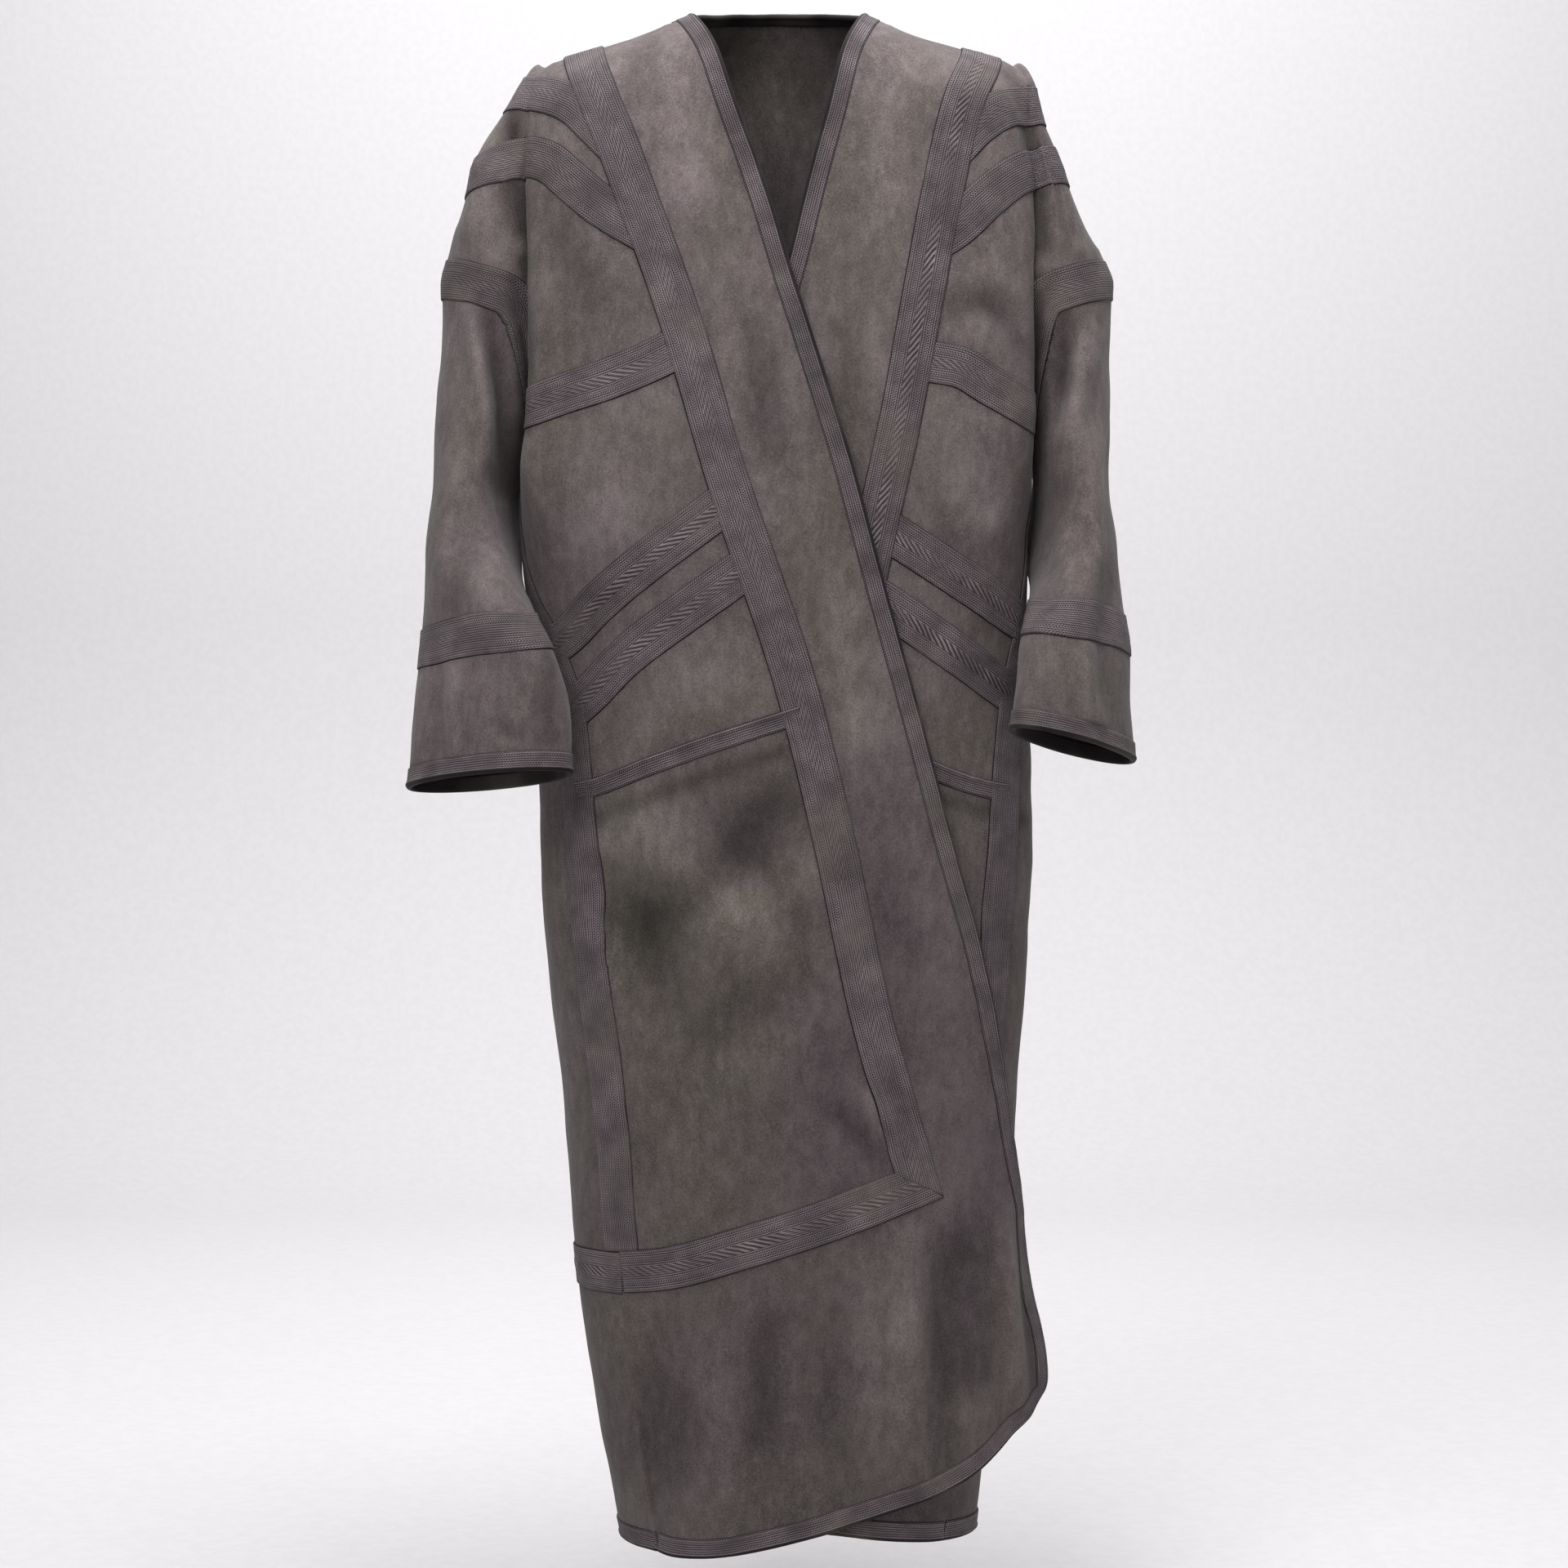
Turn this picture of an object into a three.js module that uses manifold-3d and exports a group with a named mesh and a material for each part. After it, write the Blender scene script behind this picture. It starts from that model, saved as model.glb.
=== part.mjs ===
import * as THREE from 'three';
import { mergeVertices } from 'three/addons/utils/BufferGeometryUtils.js';
import Module from 'manifold-3d';

// A long wrap abaya as it is worn, with the wearer's right front over the left.
// Sizes are in mm, X to the wearer's left, Y to the back, Z up. The origin is midway
// between the side neck points, where the shoulders carry the garment.
const clothThickness = 2.5;
const seamGap = 0.3;
const sliver = 0.2; // steps in a cut outline smaller than this are smoothed away
const weldStep = 0.002; // points closer than this are one
const sharpest = 0.3; // limits how far a corner is drawn back
const bindingWidth = 17;
const bandWidth = 40;
const narrowBandWidth = 18;
const bandFaces = { outer: 1.9, inner: 0.3 };
const lipFaces = { outer: 3.2, inner: 0.3 };
const bindingFaces = { outer: 1.2, inner: -3.6, drawn: 0.35 };

const layerGap = 10; // from the under front to the over front
const edgeStandOff = 4; // the over front's side past its free edge
const neckHalf = 82;
const neckZ = 3;
const backNeck = { depth: 66, rise: 17 };
const shoulderTip = { x: 225, z: -46 };
const shoulderRound = 90; // drop from the shoulder seam to the upright cloth
const underarmZ = -400;
const settleDrop = 90; // below the underarm, until the side is round
const arms = {
  right: { sign: -1, fold: 233, valley: 221, underarm: 236, bulge: 10 },
  left: { sign: 1, fold: 240, valley: 231, underarm: 242, bulge: 0 },
};
const armForward = 8; // how far the upper arm's cloth stands forward and back
const armRise = 0.42; // the rise for each mm that the arm bulges out
// The groove between body and arm: its depth at the shoulder as a share of the body's, its
// depth lower down, how soon it forms, how late it closes, and the cloth's turn at its mouth.
const groove = { shallow: 0.88, depth: 46, forming: 2.4, closing: 2.2, roll: 3, mouth: 8, tip: 10 };

// Rows of a panel, from the shoulder seam down.
const shoulderTurns = [0, 10, 36, 63, 90];
const chestRows = 6;
const skirtRows = 23;
const armRows = shoulderTurns.length - 1 + chestRows;
const lastRow = armRows + skirtRows + 1;

// Columns of a panel, from its free edge to its side.
const frontFold = 9;
const frontLast = frontFold + 2;
const armColumns = 5;
const sideBandHalf = 20;
const sideTurn = 58; // cloth between the side seam and the even columns
const sleeveSteps = armRows; // in half a sleeve's round
const sleeveRows = 7;
const cuffRows = 2;

// How far the cloth reaches to each side, forward and back, and how square its round is.
const girth = [
  { z: -138, right: 250, left: 256, front: 110, back: 103, square: 3.8 },
  { z: -396, right: 250, left: 252, front: 122, back: 114, square: 3.6 },
  { z: -475, right: 243, left: 238, front: 124, back: 116, square: 2.8 },
  { z: -530, right: 242, left: 238, front: 125, back: 116, square: 2.4 },
  { z: -620, right: 232, left: 237, front: 125, back: 118, square: 2.3 },
  { z: -767, right: 229, left: 245, front: 124, back: 119, square: 2.3 },
  { z: -895, right: 222, left: 239, front: 122, back: 119, square: 2.3 },
  { z: -1040, right: 205, left: 229, front: 120, back: 118, square: 2.3 },
  { z: -1170, right: 195, left: 221, front: 119, back: 117, square: 2.3 },
  { z: -1327, right: 174, left: 205, front: 117, back: 116, square: 2.3 },
  { z: -1460, right: 148, left: 186, front: 115, back: 115, square: 2.3 },
];

// Soft folds in the round: where each is strongest, its reach up and down, its angle from the
// right side (minus is the back), its half width and slant in degrees, and how far it stands out.
const folds = [
  { layer: 'over', z: -478, tall: 75, angle: 32, wide: 17, slant: 0, out: 14 },
  { layer: 'under', z: -500, tall: 110, angle: 148, wide: 16, slant: 0, out: 9 },
  { layer: 'over', z: -840, tall: 120, angle: 68, wide: 11, slant: 14, out: 5 },
  { layer: 'over', z: -930, tall: 150, angle: 58, wide: 10, slant: 6, out: -5 },
  { layer: 'over', z: -1300, tall: 170, angle: 124, wide: 9, slant: 2, out: 6 },
  { layer: 'over', z: -1290, tall: 150, angle: 143, wide: 7, slant: 3, out: -6 },
  { layer: 'over', z: -1270, tall: 170, angle: 96, wide: 9, slant: 0, out: -4 },
  { layer: 'over', z: -1340, tall: 160, angle: 62, wide: 10, slant: -3, out: 5 },
  { layer: 'over', z: -1250, tall: 260, angle: -38, wide: 10, slant: -2, out: 6 },
  { layer: 'over', z: -1180, tall: 300, angle: -68, wide: 10, slant: 1, out: -6 },
  { layer: 'under', z: -1230, tall: 280, angle: 245, wide: 9, slant: 2, out: 7 },
  { layer: 'under', z: -1150, tall: 260, angle: 220, wide: 10, slant: 0, out: -5 },
];

// The free edges, as x by height.
const edges = [
  { z: 3, right: -82, left: 82 },
  { z: -50, right: -55, left: 59 },
  { z: -100, right: -40, left: 48 },
  { z: -163, right: -16, left: 30 },
  { z: -239, right: 7, left: 12 },
  { z: -330, right: 36, left: -15 },
  { z: -433, right: 68, left: -45 },
  { z: -538, right: 96, left: -72 },
  { z: -688, right: 137, left: -100 },
  { z: -787, right: 163, left: -115 },
  { z: -885, right: 190, left: -125 },
  { z: -991, right: 211, left: -132 },
  { z: -1088, right: 226, left: -138 },
  { z: -1212, right: 244, left: -138 },
  { z: -1292, right: 256, left: -130 },
  { z: -1330, right: 249, left: -125 },
];

// The side seams' angle forward of the side, in degrees.
const sideSeams = [
  { z: -400, right: 0, left: 0 },
  { z: -450, right: 4, left: 4 },
  { z: -530, right: 12, left: 10 },
  { z: -600, right: 26, left: 19 },
  { z: -660, right: 35, left: 26 },
  { z: -767, right: 39, left: 33 },
  { z: -1172, right: 44, left: 36 },
  { z: -1460, right: 44, left: 38 },
];

// Hem heights across each front, from its free edge (0) to its side seam (1).
const hems = [
  { across: 0, right: -1313, left: -1345 },
  { across: 0.16, right: -1345, left: -1376 },
  { across: 0.3, right: -1383, left: -1400 },
  { across: 0.45, right: -1411, left: -1420 },
  { across: 0.62, right: -1439, left: -1429 },
  { across: 0.78, right: -1450, left: -1437 },
  { across: 0.9, right: -1455, left: -1444 },
  { across: 1, right: -1452, left: -1445 },
];

// Level sections of the sleeves: centre, half sizes, and the long axis's turn in degrees,
// where 90 runs front to back and less leans its front end inward.
const sleeveSections = {
  right: [
    { z: -250, x: 272, y: 1, short: 50, long: 60, turn: 90 },
    { z: -320, x: 278, y: 0, short: 45, long: 66, turn: 90 },
    { z: -400, x: 283, y: 0, short: 47, long: 80, turn: 90 },
    { z: -440, x: 288, y: -3, short: 40, long: 84, turn: 95 },
    { z: -485, x: 290, y: -10, short: 40, long: 86, turn: 101 },
    { z: -530, x: 290, y: -32, short: 46, long: 87, turn: 92 },
    { z: -565, x: 283, y: -60, short: 46, long: 88, turn: 70 },
    { z: -602, x: 276, y: -82, short: 45, long: 88, turn: 53 },
    { z: -640, x: 268, y: -93, short: 45, long: 88, turn: 41 },
    { z: -690, x: 268, y: -98, short: 45, long: 88, turn: 34 },
    { z: -745, x: 269, y: -100, short: 46, long: 88, turn: 31 },
  ],
  left: [
    { z: -250, x: 272, y: 1, short: 49, long: 60, turn: 90 },
    { z: -320, x: 279, y: 0, short: 40, long: 66, turn: 90 },
    { z: -400, x: 281, y: 0, short: 39, long: 80, turn: 90 },
    { z: -440, x: 281, y: -2, short: 35, long: 84, turn: 94 },
    { z: -485, x: 281, y: -6, short: 36, long: 87, turn: 100 },
    { z: -530, x: 281, y: -24, short: 40, long: 88, turn: 98 },
    { z: -587, x: 281, y: -62, short: 45, long: 88, turn: 68 },
    { z: -640, x: 277, y: -80, short: 44, long: 88, turn: 62 },
    { z: -700, x: 275, y: -88, short: 45, long: 88, turn: 56 },
    { z: -745, x: 275, y: -88, short: 45, long: 88, turn: 56 },
  ],
};
const dropRing = { top: -251, slope: 30, fall: 119, late: 12 };
// Rings of braid and the cuff's lower edge: middle height, and how far each side hangs below it.
const wristRings = {
  right: { z: -600, outer: 6, back: 4 },
  left: { z: -586, outer: 7, back: 4 },
};
const cuffRings = {
  right: { z: -731, outer: 5, back: 9 },
  left: { z: -698, outer: 12, back: 11 },
};

// Centre lines of the braid on the fronts, as x and z.
const mainBands = {
  right: [
    [-190, -10], [-184, -42], [-146, -147], [-93, -295], [-43, -463],
    [16, -640], [53, -790], [86, -946], [133, -1107],
  ],
  left: [
    [196, -10], [192, -50], [176, -90], [154, -181],
    [133, -293], [114, -395], [90, -506], [70, -600],
  ],
};
const mainCorner = [[156.5, -1118.6], [106, -1095]]; // the right band's mitred end, tip and inner corner
const hemBand = [
  [-230, -1192], [-150, -1191], [-105, -1185], [-39, -1166],
  [29, -1145], [108, -1116], [137, -1105],
];
const chestBands = {
  right: [[-250, -388], [-228, -380], [-196, -370], [-165, -361], [-128, -347], [-84, -326]],
  left: [[120, -338], [146, -342], [172, -347], [196, -361], [233, -381], [256, -394]],
};
const upperWaistBands = {
  right: [[-240, -617], [-198, -596], [-170, -568], [-120, -527], [-60, -483], [-20, -454]],
  left: [[76, -482], [112, -505], [152, -530], [190, -554], [226, -578], [256, -598]],
};
const lowerWaistBands = {
  right: [[-220, -690], [-175, -650], [-140, -615], [-86, -575], [-37, -540], [0, -512]],
  left: [[70, -547], [108, -572], [144, -596], [180, -621], [214, -645], [246, -667]],
};
const pocketBindings = {
  right: [[-196, -742], [-178, -739], [-120, -718], [-61, -697], [-6, -679], [40, -664]],
  left: [[120, -710], [146, -722], [172, -732], [197, -739], [226, -744]],
};
const upperShoulderBands = {
  right: [[-262, -74], [-226, -83], [-194, -97], [-166, -124], [-150, -140]],
  left: [[166, -140], [188, -117], [210, -102], [231, -94], [268, -88]],
};
const lowerShoulderBands = {
  right: [
    [-300, -158.5], [-263, -148.5], [-236, -145.5], [-216, -152.5],
    [-192, -173.5], [-165, -196.5], [-120, -224.5],
  ],
  left: [
    [130, -238.5], [166, -215.5], [197, -186.5], [224, -164.5],
    [242, -154.5], [262, -148.5], [302, -150.5],
  ],
};
const backHemBandZ = -1192; // where the level band above the hem meets the side seams

const suede = { color: 0x68615f, roughness: 0.9 };
const braid = { color: 0x645c5e, roughness: 0.78 };

const wasm = await Module();
wasm.setup();

const radians = Math.PI / 180;
const mix = THREE.MathUtils.lerp;
const smooth = (t) => THREE.MathUtils.smoothstep(t, 0, 1);
const steps = (count) => Array.from({ length: count }, (_, i) => (i + 1) / count);

// A column of a table at a value of its first column, along a smooth curve.
function read(table, column, at) {
  const key = Object.keys(table[0])[0];
  const way = Math.sign(table[1][key] - table[0][key]);
  const last = table.length - 1;
  let i = 0;
  while (i < last - 1 && way * (at - table[i + 1][key]) > 0) i += 1;
  const step = table[i + 1][key] - table[i][key];
  const t = THREE.MathUtils.clamp((at - table[i][key]) / step, 0, 1);
  const tangent = (j) => {
    const a = table[Math.max(j - 1, 0)];
    const b = table[Math.min(j + 1, last)];
    return ((b[column] - a[column]) / (b[key] - a[key])) * step;
  };
  const from = table[i][column];
  const rise = table[i + 1][column] - from;
  const start = tangent(i);
  const end = tangent(i + 1);
  const square = 3 * rise - 2 * start - end;
  const cube = start + end - 2 * rise;
  return from + t * (start + t * (square + t * cube));
}

// The rows: how far each has turned over the shoulder, and its place on the chest or skirt.
const rows = [
  ...shoulderTurns.map((turn) => ({ turn: turn * radians, chest: 0, skirt: 0 })),
  ...steps(chestRows).map((share) => ({ turn: Math.PI / 2, chest: share, skirt: 0 })),
  ...steps(skirtRows).map((share) => ({ turn: Math.PI / 2, chest: 1, skirt: share })),
];

// The height of a row whose shoulder line starts at top and whose hem is at hem.
function rowHeight(row, top, hem) {
  const step = rows[Math.min(row, lastRow - 1)];
  const upright = top - shoulderRound;
  if (step.skirt > 0) {
    const above = hem + bindingWidth;
    return row === lastRow ? hem : mix(underarmZ, above, step.skirt);
  }
  if (step.chest > 0) return mix(upright, underarmZ, step.chest);
  return top - shoulderRound * (1 - Math.cos(step.turn));
}

// The size of the round at a height. The over layer carries the right front, the under the left.
function roundAt(layer, z) {
  const size = {};
  for (const column of ['right', 'left', 'front', 'back', 'square']) {
    size[column] = read(girth, column, z);
  }
  if (layer === 'over') {
    size.left = Math.max(size.left + layerGap, read(edges, 'right', z) + edgeStandOff);
  } else {
    size.right -= layerGap;
    size.front -= layerGap;
  }
  size.folds = folds.filter((fold) => fold.layer === layer).map((fold) => ({
    angle: (fold.angle + (fold.slant * (fold.z - z)) / 100) * radians,
    wide: fold.wide * radians,
    out: fold.out * Math.exp(-(((z - fold.z) / fold.tall) ** 2)),
  }));
  return size;
}

// A point of the round, by its angle from the wearer's right side towards the front.
function roundPoint(size, angle) {
  const c = Math.cos(angle);
  const s = Math.sin(angle);
  const reach = (Math.abs(c) ** size.square + Math.abs(s) ** size.square) ** (-1 / size.square);
  const wide = c > 0 ? size.right : size.left;
  const deep = s > 0 ? size.front : size.back;
  const point = { x: -wide * reach * c, y: -deep * reach * s };
  const steep = { x: point.x / wide ** 2, y: point.y / deep ** 2 };
  const out = size.folds.reduce((sum, fold) => {
    const away = Math.abs(Math.atan2(Math.sin(angle - fold.angle), Math.cos(angle - fold.angle)));
    return sum + fold.out * Math.exp(-((away / fold.wide) ** 2));
  }, 0);
  const length = Math.hypot(steep.x, steep.y);
  return { x: point.x + (out * steep.x) / length, y: point.y + (out * steep.y) / length };
}

// The angle at which the round's front has a given x.
function angleAt(size, x) {
  const u = Math.min(Math.abs(x) / (x < 0 ? size.right : size.left), 0.9995);
  const v = (1 - u ** size.square) ** (1 / size.square);
  return Math.atan2(v, -Math.sign(x) * u);
}

// The angle that is a stretch of cloth further round.
function angleAlong(size, angle, stretch) {
  const step = 0.02 * Math.sign(stretch);
  const a = roundPoint(size, angle);
  const b = roundPoint(size, angle + step);
  return angle + (step * Math.abs(stretch)) / Math.hypot(b.x - a.x, b.y - a.y);
}

// Where the front or back of the body turns into the arm, from the shoulder to the underarm.
function armhole(side, face, row) {
  const { sign, fold, valley, underarm } = arms[side];
  const step = rows[row];
  const forward = Math.sin(step.turn);
  const z = rowHeight(row, shoulderTip.z, 0);
  const size = roundAt(side === 'right' ? 'over' : 'under', z);
  const angle = angleAt(size, sign * fold);
  const facing = face === 'front' ? angle : -angle;
  const depth = roundPoint(size, facing).y * forward;
  const open = Math.cos((step.chest ** groove.closing * Math.PI) / 2);
  const formed = smooth(groove.forming * step.chest);
  const inward = mix(groove.shallow * depth, Math.sign(depth) * groove.depth * open, formed);
  const foldX = mix(shoulderTip.x - groove.tip, fold, forward);
  const rollX = mix(shoulderTip.x, fold + groove.roll * (1 - formed), forward);
  const bottom = mix(fold + groove.mouth, mix(underarm, valley, open), formed);
  const valleyX = mix(shoulderTip.x + groove.tip, bottom, forward);
  return {
    fold: new THREE.Vector3(sign * foldX, depth, z),
    roll: new THREE.Vector3(sign * rollX, (depth + inward) / 2, z),
    valley: new THREE.Vector3(sign * valleyX, inward, z),
    angle,
  };
}

// The last three columns of a front or back: the fold's angle, and the side's two points.
function sideColumns(side, face, row, heights) {
  const hole = armhole(side, face, Math.min(row, armRows));
  if (row <= armRows) return hole;
  const over = side === 'right';
  const layer = over ? 'over' : 'under';
  const towardsFace = (face === 'front') === over ? 1 : -1;
  const points = heights.map((z, i) => {
    const size = roundAt(layer, z);
    const lean = read(sideSeams, side, z) * radians;
    const seam = over ? lean : Math.PI - lean;
    const angle = i === 0 ? seam : angleAlong(size, seam, towardsFace * sideBandHalf);
    const onRound = roundPoint(size, angle);
    const settled = smooth((underarmZ - z) / settleDrop);
    const from = i === 0 ? hole.valley : hole.roll;
    return new THREE.Vector3(mix(from.x, onRound.x, settled), mix(from.y, onRound.y, settled), z);
  });
  const z = heights[1];
  const size = roundAt(layer, z);
  const lean = read(sideSeams, side, z) * radians;
  const seam = over ? lean : Math.PI - lean;
  const turned = angleAlong(size, seam, towardsFace * sideTurn);
  const upper = face === 'front' ? angleAt(size, arms[side].sign * arms[side].fold) : -hole.angle;
  const same = upper + (Math.abs(upper - turned) > Math.PI ? 2 * Math.PI : 0);
  const settled = smooth((underarmZ - z) / settleDrop);
  return { valley: points[0], roll: points[1], angle: mix(same, turned, settled) };
}

// A front's point at a row and column.
function frontPoint(side, row, column) {
  const { sign } = arms[side];
  const layer = side === 'right' ? 'over' : 'under';
  const across = column / frontLast;
  const reach = Math.min(column / frontFold, 1);
  const hemAt = (share) => read(hems, side, share);
  if (column > frontFold) {
    const shares = [1, (frontLast - 1) / frontLast];
    const heights = shares.map((share) => rowHeight(row, shoulderTip.z, hemAt(share)));
    const ends = sideColumns(side, 'front', row, heights);
    return column === frontLast ? ends.valley : ends.roll;
  }
  const z = rowHeight(row, mix(neckZ, shoulderTip.z, reach), hemAt(across));
  const size = roundAt(layer, z);
  const edge = angleAt(size, read(edges, side, z));
  const ends = sideColumns(side, 'front', row, [z, z]);
  const way = Math.sign(ends.angle - edge);
  const bound = angleAlong(size, edge, way * bindingWidth);
  let angle = mix(bound, ends.angle, (column - 1) / (frontFold - 1));
  if (column === 0) angle = edge;
  const point = roundPoint(size, angle);
  const forward = Math.sin(rows[Math.min(row, lastRow - 1)].turn);
  const foldX = row <= armRows ? ends.fold.x : sign * arms[side].fold;
  const onShoulder = row < shoulderTurns.length;
  const slack = onShoulder ? (foldX - sign * arms[side].fold) * reach * (1 - forward) : 0;
  return new THREE.Vector3(point.x + slack, point.y * forward, z);
}

// The back's columns along the shoulder line and the neck, as x, from the right side.
const backHalf = [235, 225, 215, 176, 138, neckHalf + bindingWidth, neckHalf, 49, 16];
const backTop = [...backHalf.map((x) => -x), ...backHalf.reverse()];
const backLast = backTop.length - 1;

// The back's point at a row and column, from the right side seam to the left.
function backPoint(row, column) {
  const side = column <= backLast / 2 ? 'right' : 'left';
  const fromSide = Math.min(column, backLast - column);
  const across = column / backLast;
  const hem = mix(read(hems, 'right', 1), read(hems, 'left', 1), across);
  const topX = backTop[column];
  const inNeck = Math.max(1 - (topX / neckHalf) ** 2, 0);
  const slope = (shoulderTip.z - neckZ) / (shoulderTip.x - neckHalf);
  const line = Math.abs(topX) > neckHalf ? neckZ + (Math.abs(topX) - neckHalf) * slope : neckZ;
  if (fromSide < 2) {
    const z = rowHeight(row, shoulderTip.z, hem);
    const ends = sideColumns(side, 'back', row, [z, z]);
    return fromSide === 0 ? ends.valley : ends.roll;
  }
  const forward = Math.sin(rows[Math.min(row, lastRow - 1)].turn);
  const z = rowHeight(row, Math.max(line, shoulderTip.z), hem) + backNeck.rise * inNeck * (1 - forward);
  const right = sideColumns('right', 'back', row, [z, z]).angle;
  const left = sideColumns('left', 'back', row, [z, z]).angle;
  const from = row <= armRows ? -right : right;
  const to = row <= armRows ? -left : left - (left > 0 ? 2 * Math.PI : 0);
  const angle = mix(from, to, (column - 2) / (backLast - 4));
  const even = roundPoint(roundAt(angle > -Math.PI / 2 ? 'over' : 'under', z), angle);
  const x = mix(topX, even.x, forward ** 2);
  const size = roundAt(x < 0 ? 'over' : 'under', z);
  const deep = row <= armRows ? roundPoint(size, -angleAt(size, x)).y : even.y;
  return new THREE.Vector3(x, mix(backNeck.depth * inNeck, deep, forward), z);
}

// A point of a sleeve's level section, by its angle from the outer side towards the front.
function sleevePoint(side, angle, z) {
  const at = {};
  for (const column of ['x', 'y', 'short', 'long', 'turn']) {
    at[column] = read(sleeveSections[side], column, z);
  }
  const lean = (90 - at.turn) * radians;
  const out = at.short * Math.cos(angle - lean);
  const forward = at.long * Math.sin(angle - lean);
  const x = at.x + out * Math.cos(lean) - forward * Math.sin(lean);
  const y = at.y - out * Math.sin(lean) - forward * Math.cos(lean);
  return new THREE.Vector3(arms[side].sign * x, y, z);
}

function dropHeight(angle) {
  const inward = (1 - Math.cos(angle)) / 2;
  return dropRing.top - dropRing.slope * inward - dropRing.fall * inward ** dropRing.late;
}

function ringHeight(ring, angle) {
  return ring.z - ring.outer * Math.cos(angle) + ring.back * Math.sin(angle);
}

// The heights of a sleeve's rows at an angle, from the drop seam to the cuff.
function sleeveHeights(side, angle) {
  const drop = dropHeight(angle);
  const wrist = ringHeight(wristRings[side], angle);
  const cuff = ringHeight(cuffRings[side], angle);
  const span = (from, to, count) => steps(count).map((share) => mix(from, to, share));
  const half = bandWidth / 2;
  return [
    drop,
    drop - half,
    ...span(drop - half, wrist + half, sleeveRows),
    wrist - half,
    ...span(wrist - half, cuff + bindingWidth, cuffRows),
    cuff,
  ];
}
const wristRow = sleeveRows + 1;
const cuffRow = wristRow + 1 + cuffRows;

// The upper arm's cloth, from the armhole line out to the drop seam.
function armPoint(side, face, row, column) {
  const { sign, bulge } = arms[side];
  const angle = ((face === 'front' ? 1 : -1) * row * Math.PI) / armRows;
  const from = armhole(side, face, row).valley;
  const to = sleevePoint(side, angle, dropHeight(angle));
  const near = Math.min(bandWidth / 2 / Math.max(from.distanceTo(to), 1), 0.5);
  const share = column === armColumns ? 1 : ((1 - near) * column) / (armColumns - 1);
  const swell = Math.sin(Math.PI * share);
  const outer = Math.max(Math.cos(angle), 0) * bulge * swell;
  const ahead = Math.sin(angle) * armForward * swell * (1 - rows[row].chest);
  const point = from.clone().lerp(to, share);
  return point.add(new THREE.Vector3(sign * outer, -ahead, outer * armRise));
}

// The cloth as one welded surface, each face marked with its piece and its place in the grid.
const cloth = { points: [], faces: [], keys: new Map(), level: new Set() };

function weld(point) {
  const key = point.toArray().map((v) => Math.round(v / weldStep)).join();
  if (!cloth.keys.has(key)) {
    cloth.keys.set(key, cloth.points.length);
    cloth.points.push(point);
  }
  return cloth.keys.get(key);
}

function addGrid(piece, lastR, lastC, pointAt, flipped, levelTop = () => false) {
  const ids = [];
  for (let r = 0; r <= lastR; r += 1) {
    ids.push([]);
    for (let c = 0; c <= lastC; c += 1) {
      const id = weld(pointAt(r, c));
      ids[r].push(id);
      if (r === 0 && levelTop(cloth.points[id])) cloth.level.add(id);
    }
  }
  for (let r = 0; r < lastR; r += 1) {
    for (let c = 0; c < lastC; c += 1) {
      const [a, b, d, e] = [ids[r][c], ids[r][c + 1], ids[r + 1][c], ids[r + 1][c + 1]];
      for (const corners of [[a, b, e], [a, e, d]]) {
        if (new Set(corners).size < 3) continue;
        if (flipped) corners.reverse();
        cloth.faces.push({ corners, piece, r, c });
      }
    }
  }
}

function layOutCloth() {
  const onSeam = (point) => Math.abs(point.y) < 1e-6;
  for (const side of ['right', 'left']) {
    const left = side === 'left';
    addGrid(`${side}_front`, lastRow, frontLast, (r, c) => frontPoint(side, r, c), left, onSeam);
    for (const face of ['front', 'back']) {
      const piece = face === 'front' ? `${side}_arm` : `${side}_back_arm`;
      const flipped = left === (face === 'front');
      addGrid(piece, armRows, armColumns, (r, c) => armPoint(side, face, r, c), flipped, onSeam);
    }
    const around = 2 * sleeveSteps;
    const angleOf = (c) => ((c - sleeveSteps) * Math.PI) / sleeveSteps;
    const sleeveAt = (r, c) => sleevePoint(side, angleOf(c), sleeveHeights(side, angleOf(c))[r]);
    addGrid(`${side}_sleeve`, cuffRow + 1, around, sleeveAt, !left);
  }
  addGrid('back', lastRow, backLast, backPoint, false, onSeam);
}

function faceNormal(corners) {
  const [a, b, c] = corners.map((id) => cloth.points[id]);
  return b.clone().sub(a).cross(c.clone().sub(a));
}

// Normals shared by all the pieces that meet at a point.
function clothNormals() {
  const normals = cloth.points.map(() => new THREE.Vector3());
  for (const face of cloth.faces) {
    const normal = faceNormal(face.corners);
    for (const id of face.corners) normals[id].add(normal);
  }
  normals.forEach((normal, id) => {
    if (cloth.level.has(id)) normal.y = 0;
    normal.normalize();
  });
  return normals;
}

layOutCloth();
const normals = clothNormals();

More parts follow.
